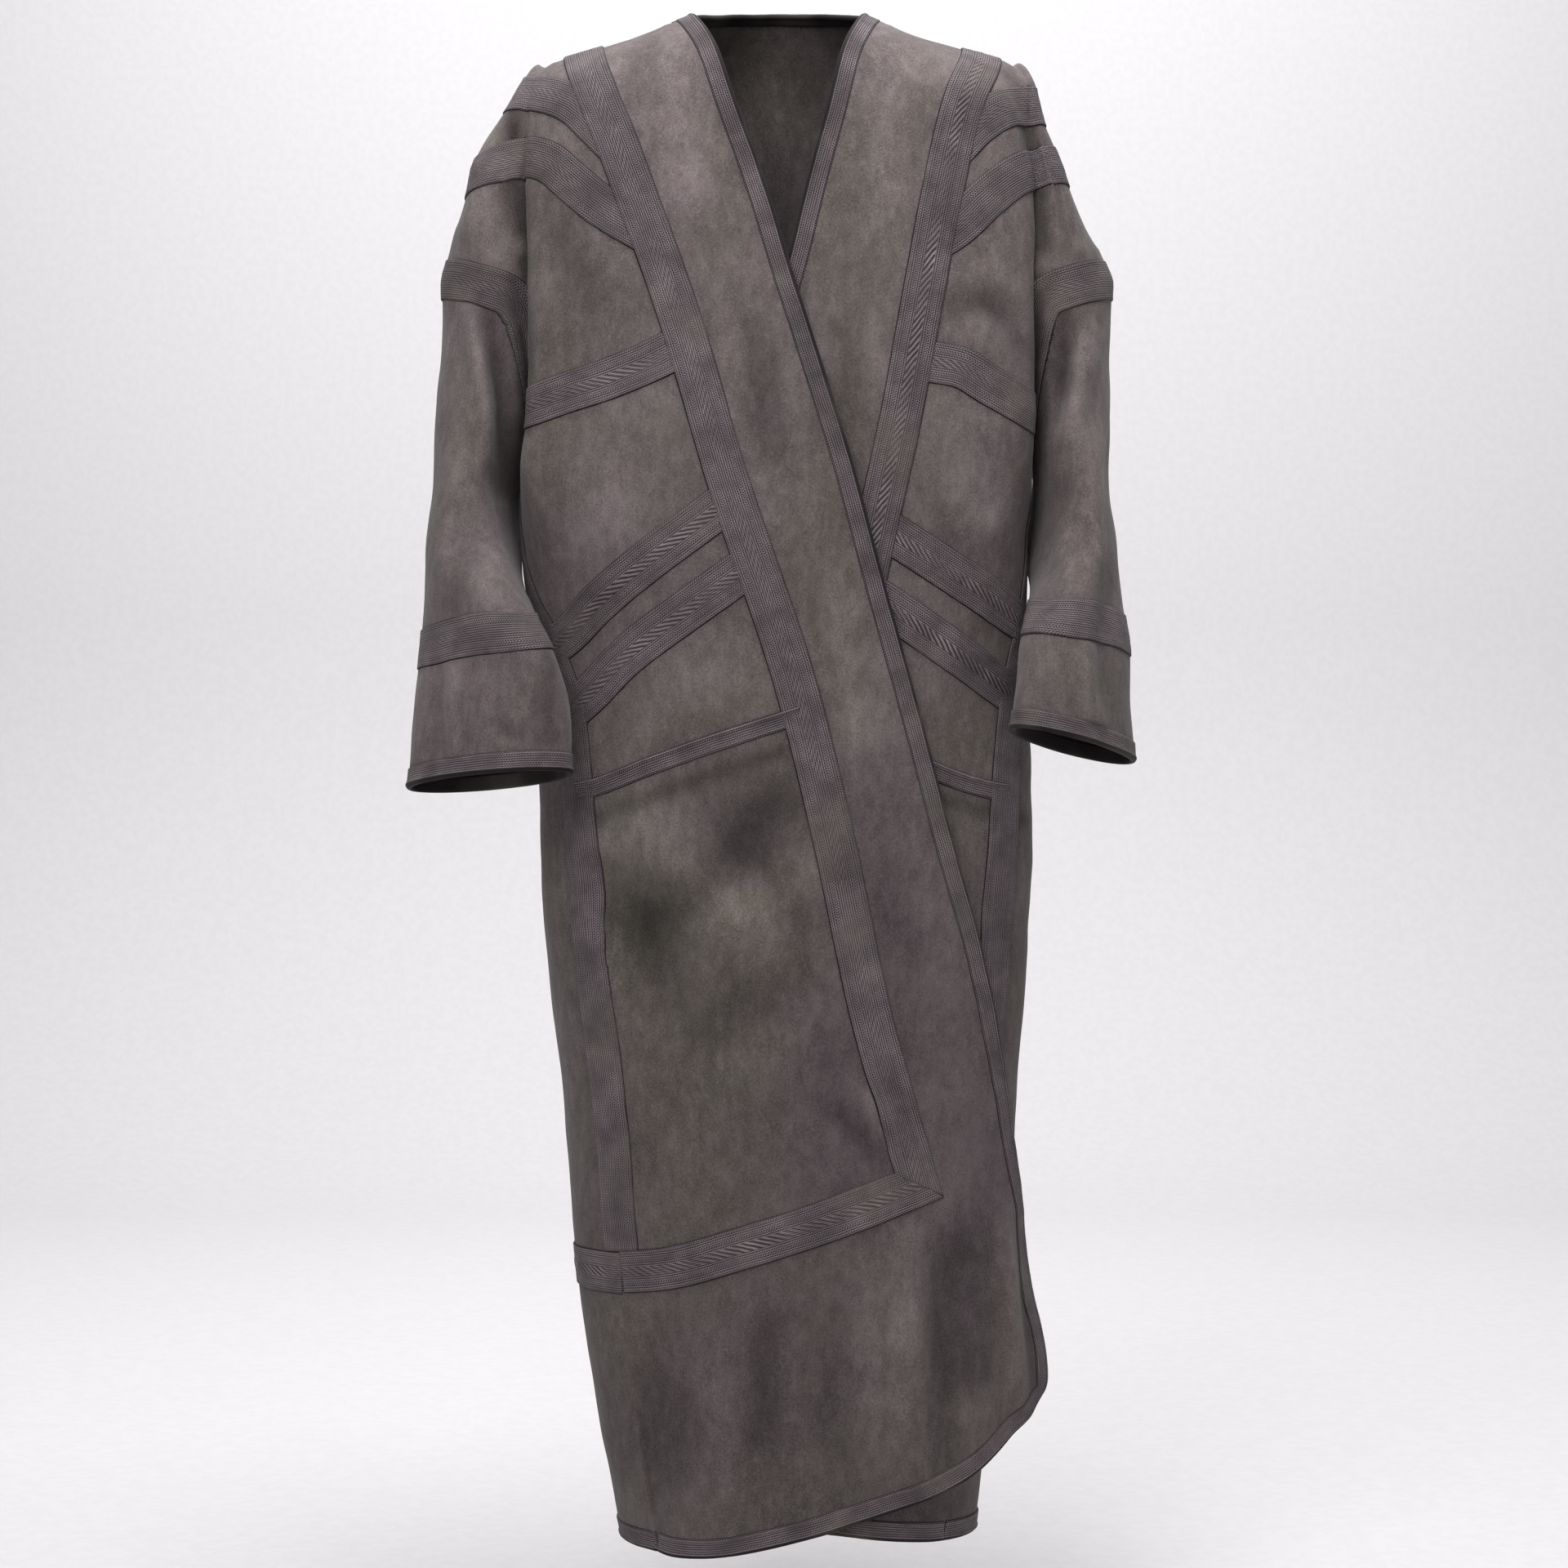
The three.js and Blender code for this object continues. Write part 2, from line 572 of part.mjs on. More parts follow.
// A wall over the chosen faces, its two faces at given distances out from the cloth's surface,
// with its edges drawn back by half a seam gap.
function wall(chosen, { outer, inner, drawn = seamGap / 2 }) {
  const faces = cloth.faces.filter(chosen);
  const border = new Map();
  const edgeKey = (a, b) => `${a},${b}`;
  const keysOf = ({ corners: [a, b, c] }) => [edgeKey(a, b), edgeKey(b, c), edgeKey(c, a)];
  const used = new Set(faces.flatMap(keysOf));
  const edgesOut = [];
  for (const { corners } of faces) {
    const normal = faceNormal(corners).normalize();
    corners.forEach((a, i) => {
      const b = corners[(i + 1) % 3];
      if (used.has(edgeKey(b, a))) return;
      edgesOut.push([a, b]);
      const along = cloth.points[b].clone().sub(cloth.points[a]).normalize();
      const inward = normal.clone().cross(along);
      for (const id of [a, b]) border.set(id, [...(border.get(id) ?? []), inward]);
    });
  }
  const ids = [...new Set(faces.flatMap(({ corners }) => corners))];
  const slot = new Map(ids.map((id, i) => [id, i]));
  const base = ids.map((id) => {
    const inward = border.get(id) ?? [];
    const sum = inward.reduce((total, d) => total.add(d), new THREE.Vector3());
    const spread = inward.length === 2 ? 1 + inward[0].dot(inward[1]) : 1;
    return cloth.points[id].clone().addScaledVector(sum, drawn / Math.max(spread, sharpest));
  });
  const faceOf = (out) => base.map((point, i) => point.clone().addScaledVector(normals[ids[i]], out));
  const positions = [...faceOf(outer), ...faceOf(inner)].flatMap((point) => point.toArray());
  const under = ids.length;
  const index = [];
  for (const { corners } of faces) {
    const [a, b, c] = corners.map((id) => slot.get(id));
    index.push(a, b, c, under + c, under + b, under + a);
  }
  for (const [from, to] of edgesOut) {
    const a = slot.get(from);
    const b = slot.get(to);
    index.push(b, a, under + a, b, under + a, under + b);
  }
  const geometry = new THREE.BufferGeometry();
  geometry.setAttribute('position', new THREE.Float32BufferAttribute(positions, 3));
  geometry.setIndex(index);
  return geometry;
}

function toSolid(geometry) {
  const bare = geometry.clone();
  bare.deleteAttribute('normal');
  bare.deleteAttribute('uv');
  const merged = mergeVertices(bare, 1e-4);
  return new wasm.Manifold(new wasm.Mesh({
    numProp: 3,
    vertProperties: new Float32Array(merged.attributes.position.array),
    triVerts: new Uint32Array(merged.index.array),
  }));
}

function toGeometry(solid) {
  const { vertProperties, triVerts, numProp } = solid.getMesh();
  const positions = [];
  for (let i = 0; i < vertProperties.length; i += numProp) {
    positions.push(...vertProperties.slice(i, i + 3));
  }
  const geometry = new THREE.BufferGeometry();
  geometry.setAttribute('position', new THREE.Float32BufferAttribute(positions, 3));
  geometry.setIndex([...triVerts]);
  return geometry;
}

// The corners of a strip along a centre line, with mitred bends. An end can be cut on a slant.
function stripOutline(line, width, end) {
  const points = line.map(([x, z]) => new THREE.Vector2(x, z));
  const offset = (distance) => points.map((point, i) => {
    const before = point.clone().sub(points[Math.max(i - 1, 0)]).normalize();
    const after = points[Math.min(i + 1, points.length - 1)].clone().sub(point).normalize();
    const along = before.clone().add(after).normalize();
    const across = new THREE.Vector2(-along.y, along.x);
    const stretch = i > 0 && i < points.length - 1 ? Math.max(along.dot(after), 0.5) : 1;
    return point.clone().addScaledVector(across, distance / stretch);
  });
  const one = offset(width / 2);
  const other = offset(-width / 2);
  if (end) {
    one[one.length - 1].set(...end[0]);
    other[other.length - 1].set(...end[1]);
  }
  return [...one, ...other.reverse()];
}

// A solid that passes through the front of the garment under an outline.
function throughFront(outline) {
  const shape = new THREE.Shape(outline);
  const frontReach = { depth: 320, steps: 1, bevelEnabled: false };
  const geometry = new THREE.ExtrudeGeometry(shape, frontReach);
  geometry.rotateX(Math.PI / 2);
  return toSolid(geometry);
}

function largest(solid) {
  return solid.decompose().sort((a, b) => b.volume() - a.volume())[0];
}

const isBinding = {
  right_front: (f) => f.c === 0 || f.r === lastRow - 1,
  left_front: (f) => f.c === 0 || f.r === lastRow - 1,
  back: (f) => f.r === lastRow - 1,
};
const neckColumns = { first: backTop.indexOf(-neckHalf) - 1, last: backTop.indexOf(neckHalf) };
const inNeck = (f) => f.c >= neckColumns.first && f.c <= neckColumns.last;
const inBackNeck = (f) => f.piece === 'back' && f.r === 0 && inNeck(f);
const isFront = (side) => (f) => f.piece === `${side}_front` && !isBinding[f.piece](f);
const isFrontOrArm = (side) => (f) => isFront(side)(f) || f.piece === `${side}_arm`;
const isBody = (f) => f.piece === 'back' && !isBinding.back(f) && !inBackNeck(f);
const isBack = (f) => isBody(f) || f.piece.endsWith('_back_arm');

const group = new THREE.Group();

function addNode(name, geometry, { color, roughness }) {
  const material = new THREE.MeshStandardMaterial({ color, roughness, metalness: 0 });
  const flat = geometry.index ? geometry : mergeVertices(geometry);
  flat.computeVertexNormals();
  const mesh = new THREE.Mesh(flat, material);
  mesh.name = name;
  group.add(mesh);
}

const clothFaces = { outer: 0, inner: -clothThickness };

function addPanels() {
  addNode('back', wall(isBack, clothFaces), suede);
  for (const side of ['right', 'left']) {
    addNode(`${side}_front`, wall(isFrontOrArm(side), clothFaces), suede);
    addNode(`${side}_sleeve`, wall((f) => f.piece === `${side}_sleeve` && f.r < cuffRow, clothFaces), suede);
  }
}

function addBindings() {
  for (const side of ['right', 'left']) {
    const piece = `${side}_front`;
    const edge = (f) => f.piece === piece && isBinding[piece](f);
    const cuff = (f) => f.piece === `${side}_sleeve` && f.r === cuffRow;
    addNode(`${piece}_binding`, wall(edge, bindingFaces), braid);
    addNode(`${side}_cuff_binding`, wall(cuff, bindingFaces), braid);
  }
  addNode('back_neck_binding', wall(inBackNeck, bindingFaces), braid);
  addNode('back_hem_binding', wall((f) => f.piece === 'back' && isBinding.back(f), bindingFaces), braid);
}

function addCutNode(name, solid) {
  addNode(name, toGeometry(largest(solid).simplify(sliver)), braid);
}

// The side bands end above the hem band: the right one at its line, the left one level.
const endAtHemBand = (band) => band.subtract(throughFront(stripOutline(hemBand, bandWidth + 2 * seamGap)));
const endLevel = (band) => band.trimByPlane([0, 0, 1], backHemBandZ + bandWidth / 2 + seamGap);

// Braid made of whole cells of the cloth: round the sleeves and over the side seams.
function addRoundBands() {
  for (const side of ['right', 'left']) {
    const sleeve = `${side}_sleeve`;
    const ofArm = (f) => f.piece.startsWith(side) && f.piece.endsWith('arm') && f.c === armColumns - 1;
    const aboveUnderarm = (f) => (ofArm(f) ? f.r : Math.abs(f.c + 0.5 - sleeveSteps)) < armRows - 2;
    const overSeam = (f) => (ofArm(f) || (f.piece === sleeve && f.r === 0)) && aboveUnderarm(f);
    addNode(`${side}_drop_band`, wall(overSeam, bandFaces), braid);
    const atWrist = (f) => f.piece === sleeve && f.r === wristRow;
    addNode(`${side}_wrist_band`, wall(atWrist, bandFaces), braid);
    const seamColumn = { back: side === 'right' ? 0 : backLast - 1, [`${side}_front`]: frontLast - 1 };
    const inSkirt = (f) => f.r > armRows && f.r < lastRow - 1;
    const besideSeam = (f) => f.c === seamColumn[f.piece] && inSkirt(f);
    const sideBand = toSolid(wall(besideSeam, bandFaces));
    addCutNode(`${side}_side_band`, side === 'right' ? endAtHemBand(sideBand) : endLevel(sideBand));
  }
}

// Braid laid across a panel: the panel's own surface, moved out and cut to the strip's outline.
function addStrip(name, chosen, outline, { faces = bandFaces, cuts = [] } = {}) {
  let solid = toSolid(wall(chosen, faces)).intersect(throughFront(outline));
  for (const cut of cuts) solid = solid.subtract(throughFront(cut));
  addCutNode(name, solid);
}

// The braid on one front. The other bands end at the main one.
function addFrontBands(side) {
  const torso = isFront(side);
  const inner = (f) => torso(f) && f.c < frontLast - 1;
  const belowArm = (f) => inner(f) && f.r >= armRows;
  const withArm = isFrontOrArm(side);
  const end = side === 'right' ? mainCorner : undefined;
  const endBelow = end?.map(([x, z]) => [x, z - seamGap]);
  addStrip(`${side}_main_band`, inner, stripOutline(mainBands[side], bandWidth, end));
  const cuts = [stripOutline(mainBands[side], bandWidth + 2 * seamGap, endBelow)];
  const across = [
    ['chest_band', chestBands, inner],
    ['upper_waist_band', upperWaistBands, belowArm],
    ['lower_waist_band', lowerWaistBands, belowArm],
    ['upper_shoulder_band', upperShoulderBands, withArm],
    ['lower_shoulder_band', lowerShoulderBands, withArm],
  ];
  for (const [name, lines, chosen] of across) {
    addStrip(`${side}_${name}`, chosen, stripOutline(lines[side], bandWidth), { cuts });
  }
  const pocket = stripOutline(pocketBindings[side], narrowBandWidth);
  addStrip(`${side}_pocket_binding`, belowArm, pocket, { faces: lipFaces, cuts });
  if (side === 'right') addStrip('right_hem_band', torso, stripOutline(hemBand, bandWidth), { cuts });
}

// The level band on the back, round both sides to the side seams.
function addBackHemBand() {
  const low = toSolid(wall(isBody, bandFaces)).trimByPlane([0, 0, 1], backHemBandZ - bandWidth / 2);
  const level = low.trimByPlane([0, 0, -1], -backHemBandZ - bandWidth / 2);
  addCutNode('back_hem_band', level);
}

addPanels();
addBindings();
addRoundBands();
addFrontBands('left');
addFrontBands('right');
addBackHemBand();

export default group;
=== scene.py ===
from math import cos, exp, pi, radians, sin
import bmesh
import bpy
import numpy as np
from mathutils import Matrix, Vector, noise
from mathutils.bvhtree import BVHTree
from mathutils.kdtree import KDTree


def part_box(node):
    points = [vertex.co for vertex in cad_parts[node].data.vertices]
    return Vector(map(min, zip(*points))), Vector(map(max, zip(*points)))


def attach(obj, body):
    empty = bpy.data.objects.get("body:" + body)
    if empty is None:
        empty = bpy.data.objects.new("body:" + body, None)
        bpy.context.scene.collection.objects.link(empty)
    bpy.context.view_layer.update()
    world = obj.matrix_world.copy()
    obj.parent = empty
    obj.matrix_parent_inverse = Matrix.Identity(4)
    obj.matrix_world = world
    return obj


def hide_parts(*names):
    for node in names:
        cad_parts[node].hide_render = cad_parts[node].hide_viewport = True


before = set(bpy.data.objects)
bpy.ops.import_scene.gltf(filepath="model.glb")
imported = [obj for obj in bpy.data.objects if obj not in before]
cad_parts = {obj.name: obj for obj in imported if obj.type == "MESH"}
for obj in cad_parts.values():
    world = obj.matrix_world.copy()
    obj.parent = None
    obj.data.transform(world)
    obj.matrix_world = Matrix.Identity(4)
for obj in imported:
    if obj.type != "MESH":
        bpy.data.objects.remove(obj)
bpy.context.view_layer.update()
mm = 0.001
print("frame loaded")



def addObject(name, data):
    piece = bpy.data.objects.new(name, data)
    bpy.context.scene.collection.objects.link(piece)
    return piece


# Camera and light

view = {"place": (0.006, -3.2, -0.734), "lens": 76.4}
lamps = [
    {"name": "key", "place": (-0.9, -2.5, 1.5), "aim": (0, 0, -0.5), "size": 1.6, "watts": 64},
    {"name": "top", "place": (0.3, -0.6, 1.9), "aim": (0, 0, -0.2), "size": 1.2, "watts": 52},
    {"name": "fill", "place": (1.9, -3.2, 0.2), "aim": (0, 0, -0.7), "size": 2.4, "watts": 12},
    {"name": "behind", "place": (0.0, 0.1, 2.2), "aim": (0, 0.9, -0.7), "size": 3.2, "watts": 26},
    {"name": "wall", "place": (0.0, 2.0, 2.6), "aim": (0, 4.4, -0.9), "size": 3.2, "watts": 145},
]
skyStrength = 0.36


def addCamera():
    data = bpy.data.cameras.new("camera")
    data.lens = view["lens"]
    data.sensor_width = 36
    camera = addObject("camera", data)
    camera.location = view["place"]
    camera.rotation_euler = (pi / 2, 0, 0)
    bpy.context.scene.camera = camera


def addLamps():
    for lamp in lamps:
        data = bpy.data.lights.new(lamp["name"], "AREA")
        data.size = lamp["size"]
        data.energy = lamp["watts"]
        light = addObject(lamp["name"], data)
        light.location = lamp["place"]
        light.rotation_euler = (Vector(lamp["aim"]) - light.location).to_track_quat("-Z", "Y").to_euler()
    world = bpy.data.worlds.new("studio")
    world.use_nodes = True
    sky = world.node_tree.nodes["Background"]
    sky.inputs["Color"].default_value = (1, 1, 1, 1)
    sky.inputs["Strength"].default_value = skyStrength
    bpy.context.scene.world = world
    bpy.context.scene.view_settings.view_transform = "Standard"


# Nodes of a material

def toLinear(rgb):
    # A colour from 0 to 255 as Blender's sockets take it.
    low = [c / 255 for c in rgb]
    return tuple(c / 12.92 if c <= 0.04045 else ((c + 0.055) / 1.055) ** 2.4 for c in low) + (1,)


class Shader:
    # A material's node tree, written as sums.
    def __init__(self, name, roughness, sheen=0.0, sheenRoughness=0.4, specular=0.25):
        self.material = bpy.data.materials.new(name)
        self.material.use_nodes = True
        self.tree = self.material.node_tree
        self.surface = self.tree.nodes["Principled BSDF"]
        self.surface.inputs["Roughness"].default_value = roughness
        self.surface.inputs["Sheen Weight"].default_value = sheen
        self.surface.inputs["Sheen Roughness"].default_value = sheenRoughness
        self.surface.inputs["Specular IOR Level"].default_value = specular
        place = self.tree.nodes.new("ShaderNodeTexCoord")
        self.place = place.outputs["Object"]
        self.uv = place.outputs["UV"]

    def put(self, socket, value):
        if isinstance(value, bpy.types.NodeSocket):
            self.tree.links.new(value, socket)
        else:
            socket.default_value = value

    def do(self, operation, *values):
        node = self.tree.nodes.new("ShaderNodeMath")
        node.operation = operation
        for socket, value in zip(node.inputs, values):
            self.put(socket, value)
        return node.outputs[0]

    def add(self, a, b): return self.do("ADD", a, b)
    def sub(self, a, b): return self.do("SUBTRACT", a, b)
    def mul(self, a, b): return self.do("MULTIPLY", a, b)

    def wave(self, value, period, power=1.0):
        # from 0 to 1 and back, once in each period
        turned = self.do("SINE", self.mul(value, 2 * pi / period))
        half = self.add(self.mul(turned, 0.5), 0.5)
        return half if power == 1.0 else self.do("POWER", half, power)

    def between(self, value, low, high, soft=0.35):
        # 1 inside a range, softly 0 outside
        return self.mul(self.ramp(value, low - soft, low + soft), self.ramp(value, high + soft, high - soft))

    def ramp(self, value, low, high, bottom=0.0, top=1.0):
        node = self.tree.nodes.new("ShaderNodeMapRange")
        for name, number in (("Value", value), ("From Min", low), ("From Max", high),
                             ("To Min", bottom), ("To Max", top)):
            self.put(node.inputs[name], number)
        return node.outputs[0]

    def noise(self, scale, detail=3.0, rough=0.5, stretch=(1, 1, 1), vector=None):
        node = self.tree.nodes.new("ShaderNodeTexNoise")
        shift = self.tree.nodes.new("ShaderNodeMapping")
        shift.inputs["Scale"].default_value = stretch
        self.put(shift.inputs["Vector"], vector or self.place)
        self.put(node.inputs["Vector"], shift.outputs[0])
        node.inputs["Scale"].default_value = scale
        node.inputs["Detail"].default_value = detail
        node.inputs["Roughness"].default_value = rough
        return node.outputs["Fac"]

    def attribute(self, name):
        node = self.tree.nodes.new("ShaderNodeAttribute")
        node.attribute_name = name
        return node.outputs["Fac"]

    def blend(self, share, a, b, way="MIX"):
        node = self.tree.nodes.new("ShaderNodeMix")
        node.data_type = "RGBA"
        node.blend_type = way
        self.put(node.inputs[0], share)
        self.put(node.inputs[6], a)
        self.put(node.inputs[7], b)
        return node.outputs[2]

    def parts(self, vector):
        node = self.tree.nodes.new("ShaderNodeSeparateXYZ")
        self.put(node.inputs[0], vector)
        return node.outputs

    def bump(self, height, distance, strength=1.0, over=None):
        node = self.tree.nodes.new("ShaderNodeBump")
        node.inputs["Strength"].default_value = strength
        node.inputs["Distance"].default_value = distance
        self.put(node.inputs["Height"], height)
        if over is not None:
            self.put(node.inputs["Normal"], over)
        return node.outputs[0]

    def finish(self, colour, normal=None, roughness=None):
        self.put(self.surface.inputs["Base Color"], colour)
        if normal is not None:
            self.put(self.surface.inputs["Normal"], normal)
        if roughness is not None:
            self.put(self.surface.inputs["Roughness"], roughness)
        return self.material


# The suede cloth

suede = {
    "purple": (97, 86, 89),
    "olive": (89, 84, 77),
    "dark": (52, 46, 46),
    "light": (134, 124, 124),
    "shadeAndNapDepth": 0.62,  # how much the painted light and shade, with the nap's own tone, change the cloth
    "hemShade": 0.3,  # painted shade: how much darker the cloth gets towards the hem, where less light falls
    "inside": 0.72,  # how bright its inner face is
    "mottle": {  # noise scale, detail, roughness and stretch, then where and how much it lightens and darkens
        "patches": {"noise": (13, 3.0, 0.55, (1, 1, 1)), "light": (0.8, 0.32), "dark": (0.2, 0.42)},
        "brushed": {"noise": (105, 3.0, 0.6, (1, 1, 0.5)), "light": (0.8, 0.34), "dark": (0.2, 0.4)},
        "grain": {"noise": (620, 2.0, 0.7, (1, 1, 1)), "light": (0.72, 0.34), "dark": (0.3, 0.4)},
    },
    "ripple": 0.0012,  # m of bump, broad and then fine
    "nap": 0.0004,
    "sheen": 0.1,
}


def suedeMaterial(name, brightness):
    s = Shader(name, roughness=0.94, sheen=suede["sheen"], sheenRoughness=0.5, specular=0.1)
    _, _, z = s.parts(s.place)
    clouds = s.noise(5.5, 2.0, 0.5)
    layers = {part: s.noise(*layer["noise"]) for part, layer in suede["mottle"].items()}
    tint = s.add(s.attribute("tint"), s.mul(s.sub(clouds, 0.5), 4.0))
    colour = s.blend(s.ramp(tint, -1.0, 1.0), toLinear(suede["olive"]), toLinear(suede["purple"]))
    for part, layer in suede["mottle"].items():
        for shade in ("light", "dark"):
            end, share = layer[shade]
            colour = s.blend(s.ramp(layers[part], 0.5, end, 0.0, share), colour, toLinear(suede[shade]))
    # painted light and shade: the attribute's painted fold shade and nap tone, then painted shade darker
    # towards the hem
    low = s.ramp(z, -0.15, -1.3, 0.0, suede["hemShade"])
    tone = s.sub(s.add(brightness, s.mul(s.attribute("tone"), suede["shadeAndNapDepth"])), low)
    colour = s.blend(1.0, colour, tone, "MULTIPLY")
    normal = s.bump(s.noise(48, 3.0, 0.6), suede["ripple"], 0.6)
    normal = s.bump(s.noise(700, 3.0, 0.65), suede["nap"], 0.8, over=normal)
    return s.finish(colour, normal, s.ramp(layers["brushed"], 0.3, 0.7, 0.88, 0.98))


# The jacquard braid

braid = {
    "thread": (146, 134, 139),
    "ground": (86, 77, 80),
    # painted shade in the low parts of the weave, between threads and along the sewn edges
    "gap": (26, 21, 23),
    "olive": (84, 80, 70),
    "rib": 2.1,  # mm between the lengthwise ribs
    "stitch": 2.4,  # mm from stitch to stitch along the braid
    "twist": 8.2,  # mm for each turn of the middle chain
    "strand": 1.9,  # mm between that chain's threads
    "lean": 1.9,  # how far its turns slant
    "relief": 0.0013,  # m of bump
}


def braidMaterial(name, half, rope, bold=0.0):
    # v runs across the braid from its middle and u along it, both in mm. rope is half the
    # width of the twisted chain in the middle, bold how clear it is, and half is half the
    # braid's width.
    s = Shader(name, roughness=0.75, sheen=0.06, sheenRoughness=0.35, specular=0.25)
    u, v, _ = s.parts(s.uv)
    u, v = s.mul(u, 1000), s.mul(v, 1000)
    wander = s.sub(s.noise(30, 3.0, 0.6), 0.5)
    away = s.do("ABSOLUTE", v)
    ribs = s.wave(s.add(v, s.mul(wander, 1.8)), braid["rib"], 1.0)
    zigzag = s.do("PINGPONG", s.add(v, 40), braid["rib"])
    stitches = s.wave(s.add(s.add(u, s.mul(zigzag, 0.9)), s.mul(wander, 3.0)), braid["stitch"], 0.8)
    chains = s.add(s.between(away, half * 0.42, half * 0.63), s.between(away, half * 0.84, half * 0.93))
    chains = s.do("MINIMUM", chains, 1.0)
    cordHeight = s.add(s.mul(ribs, 0.66), s.mul(stitches, 0.34))
    chainHeight = s.add(s.mul(ribs, 0.3), s.mul(stitches, 0.7))
    height = s.add(s.mul(s.sub(1.0, chains), cordHeight), s.mul(chains, chainHeight))
    if rope:
        patchy = s.ramp(s.noise(17, 2.0, 0.5), 0.36, 0.58, 0.15, 1.0)
        middle = s.mul(s.between(away, -1, rope, 0.4), s.mul(patchy, bold))
        lean = s.add(s.add(s.mul(u, 1.0), s.mul(v, braid["lean"])), s.mul(wander, 9.0))
        twist = s.wave(lean, braid["twist"], 0.8)
        strands = s.wave(s.add(lean, s.mul(v, 1.1)), braid["strand"], 1.0)
        lobes = s.add(s.mul(twist, 0.85), s.mul(strands, 0.15))
        height = s.add(s.mul(s.sub(1.0, middle), height), s.mul(middle, lobes))
    fuzz = s.noise(1300, 2.0, 0.7)
    height = s.add(s.mul(height, 0.8), s.mul(fuzz, 0.2))
    sewn = s.ramp(away, half - 1.3, half - 0.5)
    height = s.mul(height, s.sub(1.0, s.mul(sewn, 0.85)))
    worn = s.noise(40, 3.0, 0.6)
    # the low parts of the weave take the gap colour: painted shade
    colour = s.blend(s.ramp(height, 0.16, 0.5), toLinear(braid["gap"]), toLinear(braid["ground"]))
    bright = s.mul(s.ramp(height, 0.5, 0.9, 0.0, 0.95), s.ramp(worn, 0.36, 0.66, 0.2, 1.0))
    colour = s.blend(bright, colour, toLinear(braid["thread"]))
    colour = s.blend(s.ramp(s.noise(11, 2.0), 0.5, 0.7, 0.0, 0.45), colour, toLinear(braid["olive"]))
    colour = s.blend(1.0, colour, s.ramp(s.noise(22, 3.0, 0.6), 0.3, 0.7, 0.72, 1.24), "MULTIPLY")
    normal = s.bump(height, braid["relief"], 0.9)
    return s.finish(colour, normal, s.ramp(height, 0.2, 0.9, 0.88, 0.66))


# The cloth as one welded surface

panels = ["back", "right_front", "left_front", "right_sleeve", "left_sleeve"]
bindings = ["right_front_binding", "left_front_binding", "back_neck_binding",
            "back_hem_binding", "right_cuff_binding", "left_cuff_binding"]
pieceNames = panels + bindings
cloth = {
    # in metres
    "solidWall": 0.0025,  # the solids' own thicknesses, to tell their outer faces
    "solidBinding": 0.0048,
    "bindingProud": 0.0012,  # how far a solid binding stands over its panel
    "weld": 0.0009,  # borders nearer than this are joined
    "levels": 3,  # of subdivision
    "wall": 0.0022,  # the finished cloth's thickness
}


def outerSheet(name):
    # A node's outer faces as points and triangles, and which of the points lie on its border.
    bound = name in bindings
    wall = cloth["solidBinding"] if bound else cloth["solidWall"]
    proud = cloth["bindingProud"] / wall if bound else 0.0
    bm = bmesh.new()
    bm.from_mesh(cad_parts[name].data)
    bmesh.ops.remove_doubles(bm, verts=bm.verts, dist=1e-5)
    bm.normal_update()
    # the short edges through the wall lead from the inner face to the outer one
    across = [e for e in bm.edges if abs(e.calc_length() - wall) < 3e-6]
    rim = {f for e in across for f in e.link_faces}
    low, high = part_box(name)
    middle = (low + high) / 2
    inSleeve = "sleeve" in name or "cuff" in name
    left, found = set(bm.faces) - rim, set()
    while left:
        island, waiting = set(), [left.pop()]
        while waiting:
            face = waiting.pop()
            island.add(face)
            onward = {f for e in face.edges for f in e.link_faces} & left
            left -= onward
            waiting += onward
        outward = 0
        for face in island:
            spot = face.calc_center_median()
            axis = Vector((middle.x, middle.y, spot.z)) if inSleeve else Vector((0, 0, min(spot.z, -0.15)))
            outward += face.normal.dot(spot - axis) * face.calc_area()
        if outward > 0:
            found |= island
    base = {}
    for edge in across:
        for a, b in (edge.verts, tuple(reversed(edge.verts))):
            if any(f in found for f in a.link_faces):
                base[a] = a.co + (b.co - a.co) * proud
    verts = sorted({v for f in found for v in f.verts}, key=lambda v: v.index)
    number = {v: i for i, v in enumerate(verts)}
    points = [base.get(v, v.co).copy() for v in verts]
    faces = [[number[v] for v in f.verts] for f in sorted(found, key=lambda f: f.index)]
    border = [number[v] for v in verts if v in base]
    bm.free()
    return points, faces, border


def gatherCloth():
    # All the sheets in one mesh, joined along their seams, in squares as they were laid out.
    points, faces, owner, borders = [], [], [], []
    for piece, name in enumerate(pieceNames):
        own, ownFaces, border = outerSheet(name)
        start = len(points)
        points += own
        faces += [[start + i for i in f] for f in ownFaces]
        owner += [piece] * len(ownFaces)
        borders += [(start + i, piece) for i in border]
    tree = KDTree(len(borders))
    for i, (index, _) in enumerate(borders):
        tree.insert(points[index], i)
    tree.balance()
    root = list(range(len(points)))

    def rootOf(i):
        while root[i] != i:
            i = root[i]
        return i

    for index, piece in borders:
        for _, j, _ in tree.find_range(points[index], cloth["weld"]):
            other, otherPiece = borders[j]
            if otherPiece != piece:
                a, b = sorted((rootOf(index), rootOf(other)))
                root[b] = a
    mesh = bpy.data.meshes.new("wholeCloth")
    joined = [[rootOf(i) for i in f] for f in faces]
    kept = [i for i, f in enumerate(joined) if len(set(f)) == 3]
    mesh.from_pydata(points, [], [joined[i] for i in kept])
    mesh.polygons.foreach_set("material_index", [owner[i] for i in kept])
    bm = bmesh.new()
    bm.from_mesh(mesh)
    bmesh.ops.delete(bm, geom=[v for v in bm.verts if not v.link_faces], context="VERTS")
    bmesh.ops.join_triangles(bm, faces=bm.faces[:], cmp_materials=True,
                             angle_face_threshold=pi, angle_shape_threshold=pi)
    bm.to_mesh(mesh)
    bm.free()
    return mesh


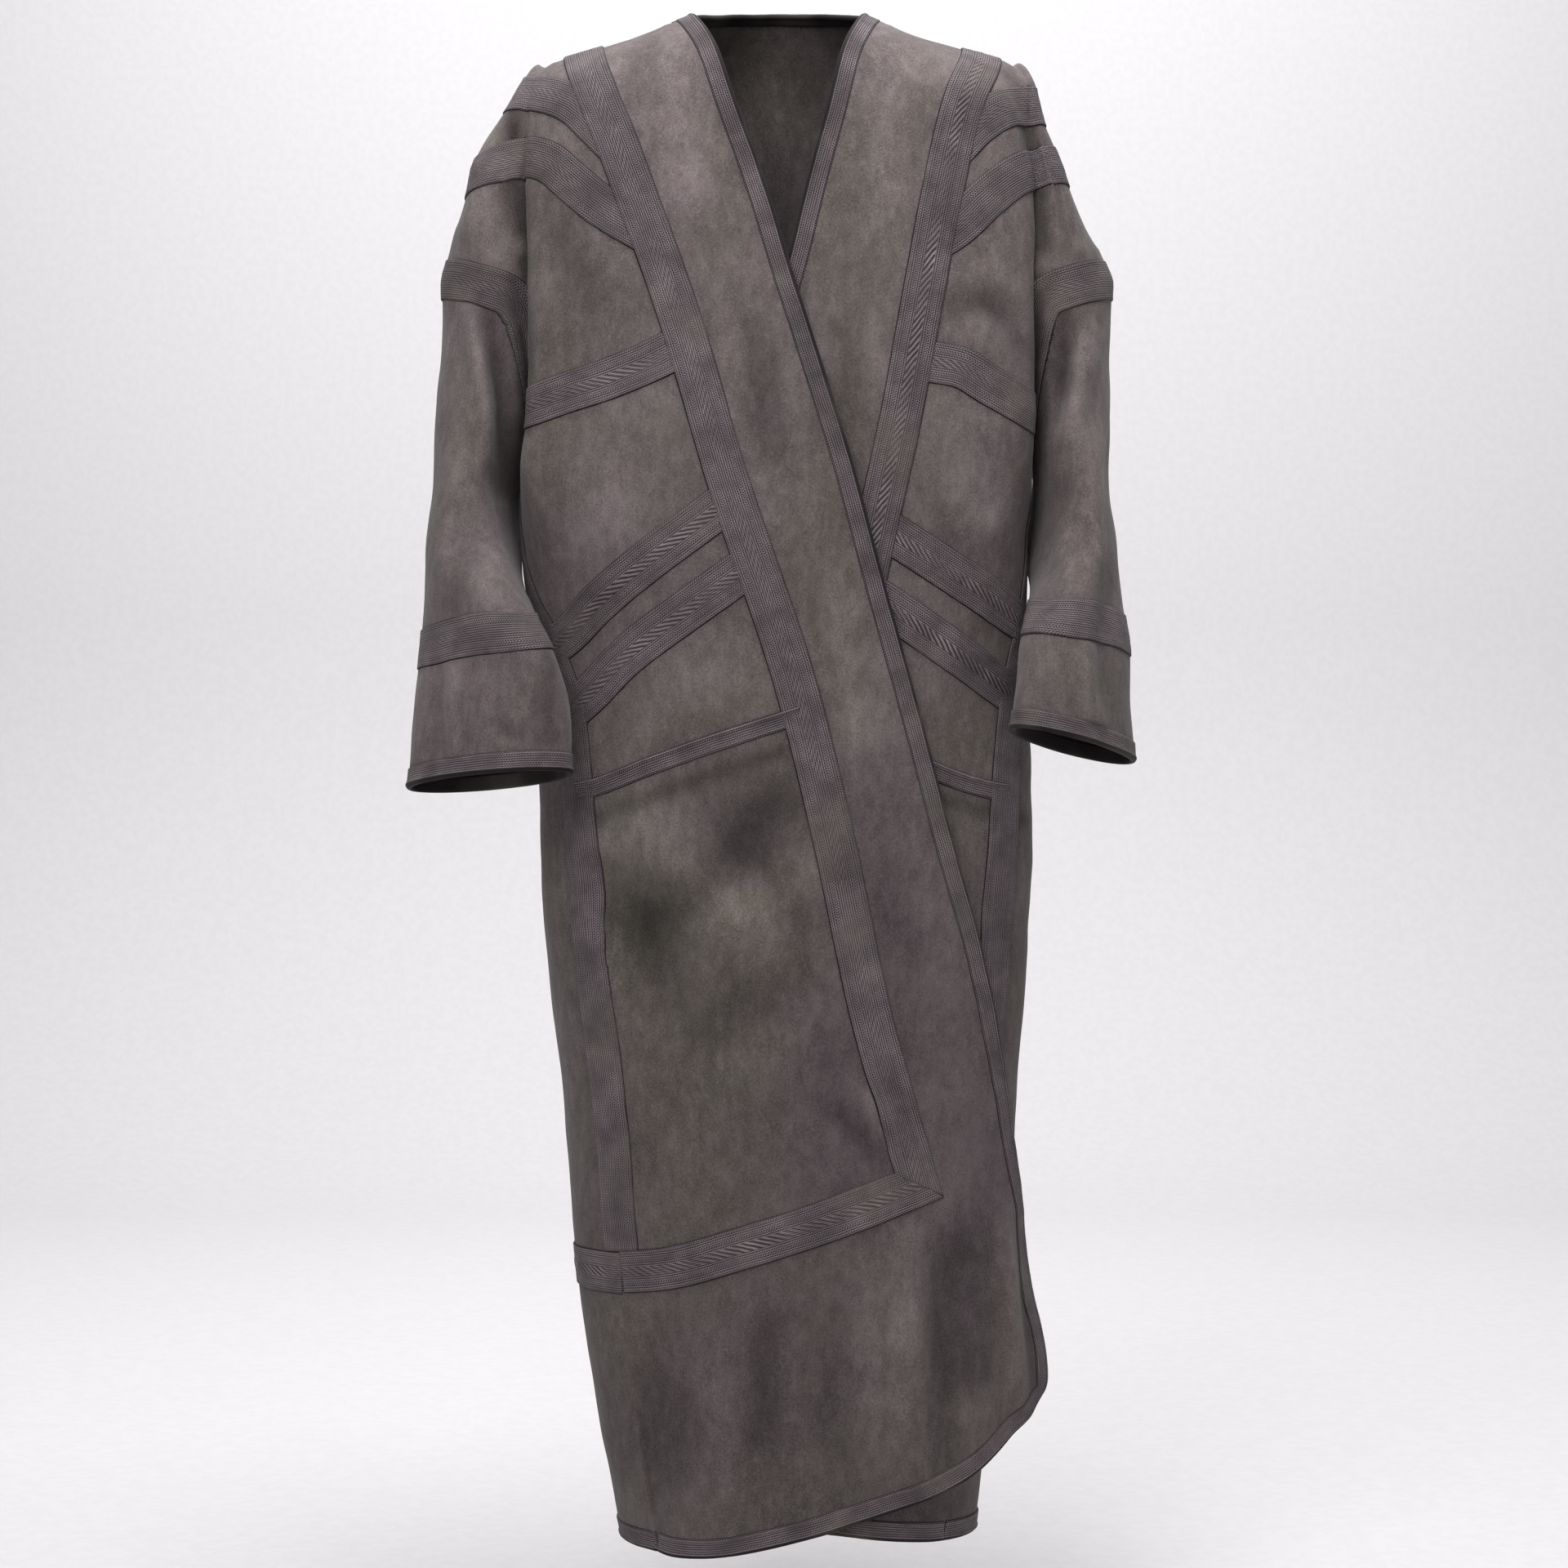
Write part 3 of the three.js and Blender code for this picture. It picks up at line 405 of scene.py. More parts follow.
def places(mesh, what="co", of="vertices"):
    # Positions or normals of a mesh as an array.
    data = getattr(mesh, of)
    values = np.zeros(len(data) * 3, np.float32)
    data.foreach_get(what, values)
    return values.reshape(-1, 3).astype(float)


def smoothCloth(mesh):
    # Rounded between the solids' points. A few corrections keep it passing close to them.
    holder = addObject("wholeCloth", mesh)
    rounder = holder.modifiers.new("rounder", "SUBSURF")
    rounder.levels = rounder.render_levels = cloth["levels"]
    rounder.boundary_smooth = "ALL"
    target = places(mesh)
    current = target.copy()
    for _ in range(3):
        mesh.vertices.foreach_set("co", current.astype(np.float32).ravel())
        mesh.update()
        bpy.context.view_layer.update()
        graph = bpy.context.evaluated_depsgraph_get()
        fine = bpy.data.meshes.new_from_object(holder.evaluated_get(graph), depsgraph=graph)
        current += 0.8 * (target - places(fine)[: len(target)])
    bpy.data.objects.remove(holder)
    return fine


# Creases, listed one by one. Each row gives the pieces it is on, the face it shows on, its line in mm
# as seen from the front (x to the wearer's left, z up), how wide it is and how far out it stands.

rightSide = ["right_front", "right_front_binding"]
leftSide = ["left_front", "left_front_binding"]
backPanel = ["back"]
bothSides = rightSide + leftSide  # where one front laps over the other
creases = [
    # on the fronts
    (rightSide, "front", [(-119, -27), (-128, -70), (-127, -118)], 13, -3.2),
    (rightSide, "front", [(-97, -60), (-88, -150), (-70, -235)], 20, 2.2),
    (bothSides, "front", [(-30, -300), (-22, -380), (-18, -455)], 15, -3.4),
    (rightSide, "front", [(-130, -420), (-150, -470), (-160, -530)], 30, 2.5),
    (rightSide, "front", [(-215, -180), (-205, -240), (-160, -300)], 22, -2.4),
    (leftSide, "front", [(58, -300), (66, -350), (62, -425)], 14, -3.0),
    (leftSide, "front", [(92, -90), (100, -180), (92, -270)], 17, 2.4),
    (leftSide, "front", [(150, -300), (190, -285), (228, -300)], 14, -2.6),
    (leftSide, "front", [(160, -440), (180, -480), (205, -505)], 22, 2.2),
    # on the skirt
    (rightSide, "front", [(-135, -765), (-60, -835), (30, -922)], 26, 3.6),
    (bothSides, "front", [(-175, -800), (-120, -880), (-95, -960)], 24, -3.2),
    (bothSides, "front", [(-20, -790), (12, -850), (18, -930)], 16, -2.2),
    (bothSides, "front", [(38, -1024), (72, -1058), (100, -1095)], 12, -2.2),
    (rightSide, "front", [(60, -1000), (96, -1046), (118, -1080)], 10, 1.8),
    (rightSide, "front", [(-223, -993), (-206, -1024)], 9, -2.4),
    (rightSide, "front", [(124, -1142), (118, -1260), (122, -1400)], 19, 3.4),
    (bothSides, "front", [(150, -1150), (152, -1270), (160, -1380)], 15, -3.2),
    (bothSides, "front", [(60, -1180), (52, -1290), (58, -1430)], 20, -2.6),
    (rightSide, "front", [(-40, -1200), (-52, -1320), (-50, -1450)], 24, 2.6),
    (bothSides, "front", [(-110, -1220), (-122, -1330), (-118, -1460)], 20, -2.4),
    (rightSide, "front", [(230, -1142), (238, -1240), (246, -1331)], 9, -2.6),
    (rightSide, "front", [(212, -1120), (220, -1230), (232, -1345)], 10, 2.8),
    (leftSide, "front", [(176, -860), (184, -980), (190, -1120)], 12, -2.6),
    # on the back
    (backPanel, "back", [(-150, -60), (-140, -190), (-90, -320)], 22, 2.8),
    (backPanel, "back", [(150, -60), (138, -200), (96, -330)], 20, 2.6),
    (backPanel, "back", [(0, -70), (6, -200), (-4, -330)], 26, -2.6),
    (backPanel, "back", [(-60, -480), (-72, -700), (-64, -960)], 26, -3.2),
    (backPanel, "back", [(48, -440), (66, -720), (60, -1020)], 28, 3.2),
    (backPanel, "back", [(-130, -760), (-126, -1040), (-112, -1400)], 22, 3.4),
    (backPanel, "back", [(128, -700), (130, -1000), (120, -1420)], 22, -3.4),
    (backPanel, "back", [(0, -900), (-6, -1180), (4, -1440)], 26, -3.0),
    (backPanel, "back", [(-200, -380), (-180, -470), (-186, -600)], 18, -2.8),
    (backPanel, "back", [(204, -380), (186, -480), (190, -590)], 18, -2.6),
]
# on the sleeves and upper arms
rightArm, leftArm = ["right_sleeve", "right_front"], ["left_sleeve", "left_front"]
armCreases = [
    (rightArm, "front", [(-295, -275), (-284, -319), (-272, -379), (-274, -440)], 9, 4.0),
    (rightArm, "front", [(-281, -268), (-268, -330), (-258, -400), (-260, -470)], 10, -4.2),
    (rightArm, "front", [(-312, -330), (-318, -430), (-322, -560)], 11, -2.6),
    (rightArm, "front", [(-280, -455), (-262, -520), (-250, -560)], 13, 3.4),
    (rightArm, "front", [(-302, -470), (-296, -540), (-300, -600)], 13, -3.0),
    (rightArm, "front", [(-300, -615), (-299, -660), (-297, -712)], 8, 2.6),
    (rightArm, "front", [(-265, -671), (-251, -684), (-237, -697)], 7, -2.4),
    (rightArm, "front", [(-330, -610), (-333, -670), (-338, -730)], 9, 2.0),
    (rightArm, "front", [(-262, -90), (-282, -150), (-300, -225)], 14, 2.8),
    (rightArm, "front", [(-250, -110), (-262, -175), (-262, -240)], 11, -3.4),
    (rightArm, "back", [(-300, -300), (-290, -420), (-300, -540)], 14, 3.2),
    (rightArm, "back", [(-270, -360), (-268, -450), (-282, -580)], 12, -3.2),
    (leftArm, "front", [(319, -373), (312, -500), (298, -667)], 9, -2.8),
    (leftArm, "front", [(300, -300), (286, -350), (272, -420)], 11, 3.6),
    (leftArm, "front", [(278, -275), (268, -330), (258, -400)], 9, -3.4),
    (leftArm, "front", [(276, -470), (268, -540), (262, -575)], 13, 2.6),
    (leftArm, "front", [(282, -600), (286, -650), (296, -700)], 10, 2.4),
    (leftArm, "back", [(298, -300), (290, -430), (300, -560)], 14, -3.0),
    (leftArm, "back", [(272, -380), (270, -470), (284, -600)], 12, 3.2),
    (leftArm, "front", [(216, -55), (238, -105), (251, -169)], 10, -3.6),
    (leftArm, "front", [(262, -110), (276, -170), (292, -235)], 12, 2.4),
]
# where the cloth lies flatter than its solid, along the outline
settled = [
    (leftArm + ["back"], "out", [(244, -70), (271, -150), (298, -225)], 34, -6.5),
    (rightArm + ["back"], "out", [(-292, -150), (-305, -205)], 24, -2.5),
    (["left_front", "back"], "up", [(110, -6), (160, -22), (215, -42)], 30, -3.6),
    (["right_front", "back"], "up", [(-110, -6), (-160, -22), (-215, -42)], 30, -3.6),
]
creaseDepth = {"body": 1.7, "arm": 1.5, "settled": 1.0}
tremble = {"out": 1.5, "size": 0.08, "fine": 0.5, "fineSize": 0.03}  # the unevenness of worn cloth

# Light and dark areas of the cloth, as seen from the front: painted shade in the armhole grooves, fold troughs
# and under the pocket bindings, painted light on ridges, and partly the nap's own tone. Each gives a line in
# mm, how wide, how light (minus is dark), and how purple (minus is olive).
napAndShadeAreas = [
    # beside and on the arms, with painted shade in the armhole grooves
    ([(-253, -89), (-247, -150), (-243, -212)], 10, -1.0, 0.2),
    ([(-240, -240), (-236, -310), (-236, -400)], 7, -0.9, 0.2),
    ([(233, -111), (246, -170), (249, -225)], 9, -0.8, 0.2),
    ([(247, -260), (246, -320), (244, -400)], 7, -0.9, 0.2),
    ([(-262, -300), (-262, -400), (-262, -500)], 20, -0.5, 0.7),
    ([(-316, -300), (-312, -420), (-310, -520)], 14, 0.25, 0.2),
    ([(-282, -165), (-268, -225)], 18, 0.3, 0.2),
    ([(-295, -625), (-262, -660)], 20, 0.2, 0.4),
    ([(-208, -620), (-212, -690)], 13, -0.5, 0.0),
    ([(262, -290), (268, -360)], 15, -0.55, 0.3),
    ([(302, -300), (306, -420), (304, -520)], 11, 0.25, 0.1),
    ([(262, -460), (262, -560)], 12, -0.3, 0.2),
    ([(262, -620), (296, -640)], 22, 0.05, -0.9),
    # shoulders and chest
    ([(-150, -60), (-100, -90)], 50, 0.22, 0.2),
    ([(150, -60), (100, -90)], 50, 0.18, 0.1),
    ([(84, -770), (108, -900), (120, -990)], 26, -0.22, 0.2),
    ([(-112, -110), (-88, -180)], 28, 0.35, 0.4),
    ([(-190, -260), (-180, -330)], 30, -0.12, 0.2),
    ([(60, -240), (70, -330), (58, -430)], 30, -0.12, -0.8),
    ([(-5, -330), (0, -430)], 15, -0.35, 0.0),
    ([(-45, -300), (-30, -400), (-5, -500)], 14, 0.2, 0.3),
    ([(108, -70), (100, -180)], 24, 0.15, 0.3),
    ([(198, -285), (238, -332)], 14, -0.5, 0.2),
    ([(180, -400), (200, -470)], 26, 0.15, 0.4),
    ([(-190, -430), (-150, -520)], 24, 0.15, 0.4),
    ([(-100, -650), (-30, -620)], 28, 0.2, 0.3),
    # skirt
    # painted shadows under the pocket bindings
    ([(-181, -770), (-100, -739), (5, -702)], 9, -0.6, 0.0),
    ([(150, -748), (235, -768)], 9, -0.6, 0.0),
    ([(-127, -886), (-60, -820), (-5, -752)], 30, -0.7, 0.2),
    ([(-165, -905), (-39, -850), (20, -822)], 22, 0.5, -0.8),
    ([(-168, -790), (-135, -760)], 24, 0.35, -0.6),
    ([(-150, -860), (-120, -1000), (-100, -1160)], 70, 0.0, -0.8),
    ([(-70, -960), (20, -905)], 22, -0.3, -0.2),
    ([(-60, -1010), (20, -960)], 20, 0.2, -0.7),
    ([(40, -960), (75, -1100)], 34, -0.18, 1.4),
    ([(90, -720), (150, -950), (190, -1120)], 34, -0.05, 1.3),
    ([(50, -540), (74, -700)], 12, 0.35, -0.3),
    ([(-12, -1240), (-18, -1330)], 24, -0.4, 0.4),
    ([(80, -1180), (84, -1310)], 20, 0.35, 0.0),
    ([(174, -1160), (184, -1290)], 18, -0.45, 0.9),
    ([(178, -1315), (208, -1300)], 17, 0.25, -0.5),
    ([(-152, -1215), (-140, -1265)], 22, 0.2, -0.6),
    ([(-84, -1310), (-88, -1370)], 20, -0.3, 0.2),
    ([(-130, -1410), (30, -1425)], 36, 0.1, -0.7),
]


def lineField(points, line):
    # Each point's distance from a line in the x-z plane, and how far along the line it is, from 0 to 1.
    corners = np.array(line, float) * mm
    lengths = np.linalg.norm(np.diff(corners, axis=0), axis=1)
    starts = np.concatenate([[0], np.cumsum(lengths)])
    best = np.full(len(points), 9.0)
    along = np.zeros(len(points))
    for i, length in enumerate(lengths):
        way = (corners[i + 1] - corners[i]) / length
        t = np.clip((points - corners[i]) @ way, 0, length)
        gap = np.linalg.norm(points - corners[i] - t[:, None] * way, axis=1)
        nearer = gap < best
        best[nearer] = gap[nearer]
        along[nearer] = (starts[i] + t[nearer]) / starts[-1]
    return best, along


def creaseCloth(mesh):
    points = places(mesh)
    normals = places(mesh, "vector", "vertex_normals")
    owner = np.zeros(len(mesh.polygons), np.int32)
    mesh.polygons.foreach_get("material_index", owner)
    corners = np.zeros(len(mesh.loops), np.int32)
    mesh.loops.foreach_get("vertex_index", corners)
    totals = np.zeros(len(mesh.polygons), np.int32)
    mesh.polygons.foreach_get("loop_total", totals)
    cornerOwner = np.repeat(owner, totals)
    out = np.zeros(len(points))
    flat = points[:, [0, 2]]
    facing = {"front": -normals[:, 1], "back": normals[:, 1], "up": normals[:, 2],
              "out": np.sign(points[:, 0]) * normals[:, 0]}
    rows = [(creaseDepth["body"], *row) for row in creases]
    rows += [(creaseDepth["arm"], *row) for row in armCreases]
    rows += [(creaseDepth["settled"], *row) for row in settled]
    for depth, names, face, line, wide, stands in rows:
        belongs = np.zeros(len(points), bool)
        for name in names:
            belongs[corners[cornerOwner == pieceNames.index(name)]] = True
        seen = np.clip((facing[face] + 0.05) / 0.3, 0, 1)
        gap, along = lineField(flat, line)
        wide *= mm
        # a rounded ridge with a faint hollow beside it, fading out at its ends
        core = np.exp(-((gap / wide) ** 2)) - 0.3 * np.exp(-(((gap - 1.9 * wide) / wide) ** 2))
        fade = np.clip(np.sin(pi * along), 0, 1) ** 0.6
        out += np.where(belongs, depth * stands * mm * core * fade * seen, 0)
    shadeCloth(mesh, flat, normals, out)
    for i, point in enumerate(points):
        spot = Vector(point)
        out[i] += tremble["out"] * mm * noise.fractal(spot / tremble["size"], 1.0, 2.0, 2)
        out[i] += tremble["fine"] * mm * noise.noise(spot / tremble["fineSize"])
    points += normals * out[:, None]
    mesh.vertices.foreach_set("co", points.astype(np.float32).ravel())
    mesh.update()


def shadeCloth(mesh, flat, normals, folds):
    # How light and how purple the cloth is at each point. The lightness is painted shade: lighter on ridges,
    # darker in troughs, with the listed areas of painted shade and nap tone added; the purple is the nap's own
    # hue.
    tone = np.clip(folds / (14 * mm), -0.5, 0.5)
    tint = np.zeros(len(flat))
    seen = np.clip(0.2 - normals[:, 1] / 0.5, 0, 1)
    for line, wide, areaShadeAndNap, areaTint in napAndShadeAreas:
        gap, _ = lineField(flat, line)
        share = np.exp(-((gap / (wide * mm)) ** 2)) * seen
        tone += areaShadeAndNap * share
        tint += areaTint * share
    for name, values in (("tone", tone), ("tint", tint)):
        mesh.attributes.new(name, "FLOAT", "POINT").data.foreach_set("value", values.astype(np.float32))


def pieceMesh(mesh, names, title, bare=False):
    # Some pieces of the cloth. If bare, the bound part stops just inside its free edge.
    wanted = {pieceNames.index(name) for name in names}
    bound = {pieceNames.index(name) for name in bindings}
    bm = bmesh.new()
    bm.from_mesh(mesh)
    dropped = [f for f in bm.faces if f.material_index not in wanted
               or (bare and f.material_index in bound and any(e.is_boundary for e in f.edges))]
    bmesh.ops.delete(bm, geom=dropped, context="FACES")
    for face in bm.faces:
        face.smooth = True
    part = bpy.data.meshes.new(title)
    bm.to_mesh(part)
    bm.free()
    return part


class Surface:
    # The outer face of some pieces of the cloth, to lay braid on.
    def __init__(self, names):
        part = pieceMesh(whole, names, "surface")
        self.normals = places(part, "vector", "vertex_normals")
        bm = bmesh.new()
        bm.from_mesh(part)
        bmesh.ops.triangulate(bm, faces=bm.faces[:])
        bm.verts.ensure_lookup_table()
        self.points = [v.co.copy() for v in bm.verts]
        self.faces = [[v.index for v in f.verts] for f in bm.faces]
        bm.free()
        self.tree = BVHTree.FromPolygons(self.points, self.faces)
        bpy.data.meshes.remove(part)

    def normalAt(self, spot, face):
        corners = self.faces[face]
        near = [1 / (1e-6 + (self.points[i] - spot).length) for i in corners]
        total = sum((Vector(self.normals[i]) * w for i, w in zip(corners, near)), Vector())
        return total.normalized()

    def nearest(self, point):
        spot, _, face, _ = self.tree.find_nearest(point)
        return spot, self.normalAt(spot, face)

    def hit(self, origin, way):
        return self.tree.ray_cast(origin, way)[0]


underBinding = {  # the bindings that each panel runs on under
    "back": ["back_neck_binding", "back_hem_binding"],
    "right_front": ["right_front_binding"],
    "left_front": ["left_front_binding"],
    "right_sleeve": ["right_cuff_binding"],
    "left_sleeve": ["left_cuff_binding"],
}


def addPanels():
    inside = suedeMaterial("suedeInside", suede["inside"])
    outside = suedeMaterial("brushedSuede", 1.0)
    for name in panels:
        mesh = pieceMesh(whole, [name] + underBinding[name], f"{name}_cloth", bare=True)
        piece = addObject(f"{name}_cloth", mesh)
        mesh.materials.clear()
        mesh.materials.append(outside)
        mesh.materials.append(inside)
        for polygon in mesh.polygons:
            polygon.material_index = 0
        thicken = piece.modifiers.new("thicken", "SOLIDIFY")
        thicken.thickness = cloth["wall"]
        thicken.offset = -1
        thicken.use_even_offset = False
        thicken.material_offset = 1
        applyModifiers(piece)
        dress(piece, name)


def applyModifiers(piece):
    # The modifiers' result becomes the piece's own mesh.
    graph = bpy.context.evaluated_depsgraph_get()
    mesh = bpy.data.meshes.new_from_object(piece.evaluated_get(graph), depsgraph=graph)
    piece.modifiers.clear()
    piece.data = mesh
    mesh.set_sharp_from_angle(angle=radians(55))


def dress(piece, node):
    # A finished piece takes the place of its solid.
    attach(piece, "root")
    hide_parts(node)


# Braid laid on the cloth

step = {"along": 2.2, "across": 1.5}  # mm
braidForm = {
    "wide": 40,  # mm across
    "narrow": 18,
    "rope": 4.4,  # half the width of the twisted chain
    "thick": 1.4,
    "edge": 1.2,  # how far in from its edges it is fully thick
    "under": 0.35,  # how far its underside lies in the cloth
    "mitreReach": 70,  # mm over which a slanted end spreads
}
pocketLip = {"at": 6.5, "wide": 2.4, "out": 2.0}
ropes = {  # how clear the twisted chain is on each kind of braid
    "left_main": 1.0, "right_main": 0.3, "waist": 1.0, "chest": 0.7, "hem": 1.0,
    "drop": 0.3, "shoulder": 0.3, "wrist": 0.3, "side": 0.0,
}


def walkedOn(surface, spots, reach):
    # A line carried on over the cloth past its last point.
    ahead = [Vector(spot) for spot in spots]
    for _ in range(int(reach / step["along"])):
        way = (ahead[-1] - ahead[-3]).normalized()
        ahead.append(surface.nearest(ahead[-1] + way * (step["along"] * mm))[0])
    return ahead


def closing(values, closed):
    # A closed line's values with the first one again at its end.
    return np.vstack([values, values[:1]]) if closed else values


def walk(line):
    # The distance of each point of a line from its start.
    return np.concatenate([[0], np.cumsum(np.linalg.norm(np.diff(line, axis=0), axis=1))])


def evenly(points, closed, spacing):
    # A line's points at even steps along it, and their distances from its start.
    line = closing(np.array([tuple(p) for p in points]), closed)
    walked = walk(line)
    count = max(int(round(walked[-1] / spacing)), 4)
    marks = np.linspace(0, walked[-1], count + 1)
    if closed:
        marks = marks[:-1]
    return np.stack([np.interp(marks, walked, line[:, k]) for k in range(3)], axis=1), marks, walked[-1]


def softened(line, closed, passes):
    # A line with each point drawn towards its neighbours.
    line = line.copy()
    for _ in range(passes):
        before, after = np.roll(line, 1, axis=0), np.roll(line, -1, axis=0)
        middle = (before + after + 2 * line) / 4
        if not closed:
            middle[0], middle[-1] = line[0], line[-1]
        line = middle
    return line


def directions(line, closed, passes):
    # The way along a line at each of its points, softened.
    ways = np.roll(line, -1, axis=0) - np.roll(line, 1, axis=0)
    if not closed:
        ways[0], ways[-1] = line[1] - line[0], line[-1] - line[-2]
    return softened(ways, closed, passes)


def seededWave(u, seed):
    # an uneven pucker along a braid, from -1 to 1
    return noise.noise(Vector((u / 17, seed, 0))) + 0.5 * noise.noise(Vector((u / 5, seed, 3)))


def braidHeight(u, v, half, rope, bold, seed):
    # How far the braid stands out of the cloth, in mm, at u along and v across it.
    edge = max(half - abs(v), 0)
    height = braidForm["thick"] * min(edge / braidForm["edge"], 1) ** 0.5 + 0.2 * seededWave(u, seed)
    height += 0.25 * noise.noise(Vector((u / 9, v / 6, seed)))
    if rope and abs(v) < rope:
        here = bold * (0.7 + 0.6 * noise.noise(Vector((u / 50, seed, 9))))
        turn = sin(2 * pi * (u + braid["lean"] * v + 4 * seededWave(u, seed)) / braid["twist"])
        height += here * (0.6 * turn + 0.3) * (1 - (v / rope) ** 2) ** 0.5
    return height


def gridMesh(title, rows, uvRows, closed, floorRows, coarse=(4, 6)):
    # A closed sheet: its outer face from rows of points, a plainer inner one under it, and a rim.
    count, width = len(rows), len(rows[0])
    points = [p for row in rows for p in row] + [p for row in floorRows for p in row]
    under = count * width
    marks = list(range(0, count - 1, coarse[0])) + ([] if closed else [count - 1])
    stops = list(range(0, width - 1, coarse[1])) + [width - 1]
    faces, uvs = [], []
    length = uvRows[-1][0][0] * (count / max(count - 1, 1))

    def face(corners):
        faces.append(corners)
        flat = [uvRows[(i % under) // width][i % width] for i in corners]
        if closed and max(f[0] for f in flat) - min(f[0] for f in flat) > length / 2:
            flat = [(f[0] + length, f[1]) if f[0] < length / 2 else f for f in flat]
        uvs.extend(flat)

    def at(row, column, low=0):
        return low + (row % count) * width + column

    for r in range(count if closed else count - 1):
        for c in range(width - 1):
            face([at(r, c), at(r, c + 1), at(r + 1, c + 1), at(r + 1, c)])
    spans = list(zip(marks, marks[1:] + ([count] if closed else [])))
    for r, s in spans:
        for c, d in zip(stops, stops[1:]):
            face([at(r, c, under), at(s, c, under), at(s, d, under), at(r, d, under)])
        face([at(i, 0) for i in range(r, s + 1)] + [at(s, 0, under), at(r, 0, under)])
        edge = width - 1
        face([at(i, edge) for i in range(s, r - 1, -1)] + [at(r, edge, under), at(s, edge, under)])
    if not closed:
        face([at(0, c) for c in range(width - 1, -1, -1)] + [at(0, c, under) for c in stops])
        face([at(count - 1, c) for c in range(width)] + [at(count - 1, c, under) for c in reversed(stops)])
    mesh = bpy.data.meshes.new(title)
    mesh.from_pydata(points, [], faces)
    layer = mesh.uv_layers.new(name="weave")
    layer.data.foreach_set("uv", [n for uv in uvs for n in uv])
    mesh.polygons.foreach_set("use_smooth", [True] * len(faces))
    return tidyMesh(mesh)


def tidyMesh(mesh):
    # No loose points, no large many-sided faces, and all faces turned outward.
    bm = bmesh.new()
    bm.from_mesh(mesh)
    bmesh.ops.delete(bm, geom=[v for v in bm.verts if not v.link_faces], context="VERTS")
    bmesh.ops.triangulate(bm, faces=[f for f in bm.faces if len(f.verts) > 4])
    bmesh.ops.recalc_face_normals(bm, faces=bm.faces[:])
    bm.to_mesh(mesh)
    bm.free()
    return mesh


def laySheet(name, surface, line, narrow=False, closed=False, slant=0.0, lift=0.0):
    # A strip of braid along a line on the cloth. Its far end can be cut on a slant.
    width = braidForm["narrow" if narrow else "wide"]
    rope = 0 if narrow else braidForm["rope"]
    half = width / 2
    bold = next((share for part, share in ropes.items() if part in name), 0.0)
    seed = 10.0 + 7.3 * sum(ord(c) * (i + 1) for i, c in enumerate(name)) % 97  # its own unevenness
    centres, marks, length = evenly(line, closed, step["along"] * mm)
    centres = softened(centres, closed, 6)
    spots = [surface.nearest(Vector(c)) for c in centres]
    middle = np.array([tuple(s[0]) for s in spots])
    tangents = directions(middle, closed, 4)
    columns = int(round(width / step["across"]))
    across = [-half + width * c / columns for c in range(columns + 1)]
    tops, floors, uvRows = [], [], []
    total = length / mm
    for (spot, normal), tangent, mark, centre in zip(spots, tangents, marks, middle):
        way = Vector(tangent).normalized()
        side = normal.cross(way).normalized()
        row, floorRow, uvRow = [], [], []
        u = mark / mm
        for v in across:
            shift = slant * v * max(0, 1 - (total - u) / braidForm["mitreReach"]) if slant else 0
            guess = Vector(centre) + side * (v * mm) + way * (shift * mm)
            point, out = surface.nearest(guess)
            height = braidHeight(u, v, half, rope, bold, seed) + lift
            if narrow:
                bead = pocketLip["out"] * exp(-(((v - pocketLip["at"]) / pocketLip["wide"]) ** 2))
                height += bead * (1 + 0.5 * seededWave(u, seed + 3))
            row.append(point + out * (height * mm))
            floorRow.append(point + out * (-braidForm["under"] * mm))
            uvRow.append(((u + shift) * mm, v * mm))
        tops.append(row)
        floors.append(floorRow)
        uvRows.append(uvRow)
    mesh = gridMesh(f"{name}_braid", tops, uvRows, closed, floors)
    piece = addObject(f"{name}_braid", mesh)
    mesh.materials.append(wideBraid[bold] if rope else narrowBraid)
    dress(piece, name)


# Middle lines of the braid on the fronts and back, in mm: x to the wearer's left, z up

bands = {
    "right": {
        "main": [(-190, -10), (-184, -42), (-146, -147), (-93, -295), (-43, -463), (16, -640), (53, -790),
                 (86, -946), (131.5, -1107)],
        "chest": [(-250, -388), (-228, -380), (-196, -370), (-165, -361), (-128, -347), (-84, -326)],
        "upper_waist": [(-240, -617), (-198, -596), (-170, -568), (-120, -527), (-60, -483), (-46, -472)],
        "lower_waist": [(-220, -690), (-175, -650), (-140, -615), (-86, -575), (-37, -540), (-22, -529)],
        "pocket": [(-196, -742), (-178, -739), (-120, -718), (-61, -697), (-6, -679), (22, -670)],
        "upper_shoulder": [(-262, -74), (-226, -83), (-194, -97), (-166, -124), (-150, -140)],
        "lower_shoulder": [(-300, -158), (-263, -148), (-236, -145), (-216, -152), (-192, -173), (-165, -196),
                           (-120, -224)],
        "hem": [(-150, -1191), (-105, -1185), (-39, -1166), (29, -1145), (108, -1116), (131.5, -1107)],
    },
    "left": {
        "main": [(196, -10), (192, -50), (176, -90), (154, -181), (133, -293), (114, -395), (90, -506),
                 (70, -600)],
        "chest": [(120, -338), (146, -342), (172, -347), (196, -361), (233, -381), (256, -394)],
        "upper_waist": [(94, -494), (112, -505), (152, -530), (190, -554), (226, -578), (256, -598)],
        "lower_waist": [(80, -554), (108, -572), (144, -596), (180, -621), (214, -645), (246, -667)],
        "pocket": [(120, -710), (146, -722), (172, -732), (197, -739), (226, -744)],
        "upper_shoulder": [(166, -140), (188, -117), (210, -102), (231, -94), (268, -88)],
        "lower_shoulder": [(142, -231), (166, -215), (197, -186), (224, -164), (242, -154), (262, -148),
                           (302, -150)],
    },
}
backHemZ = -1192
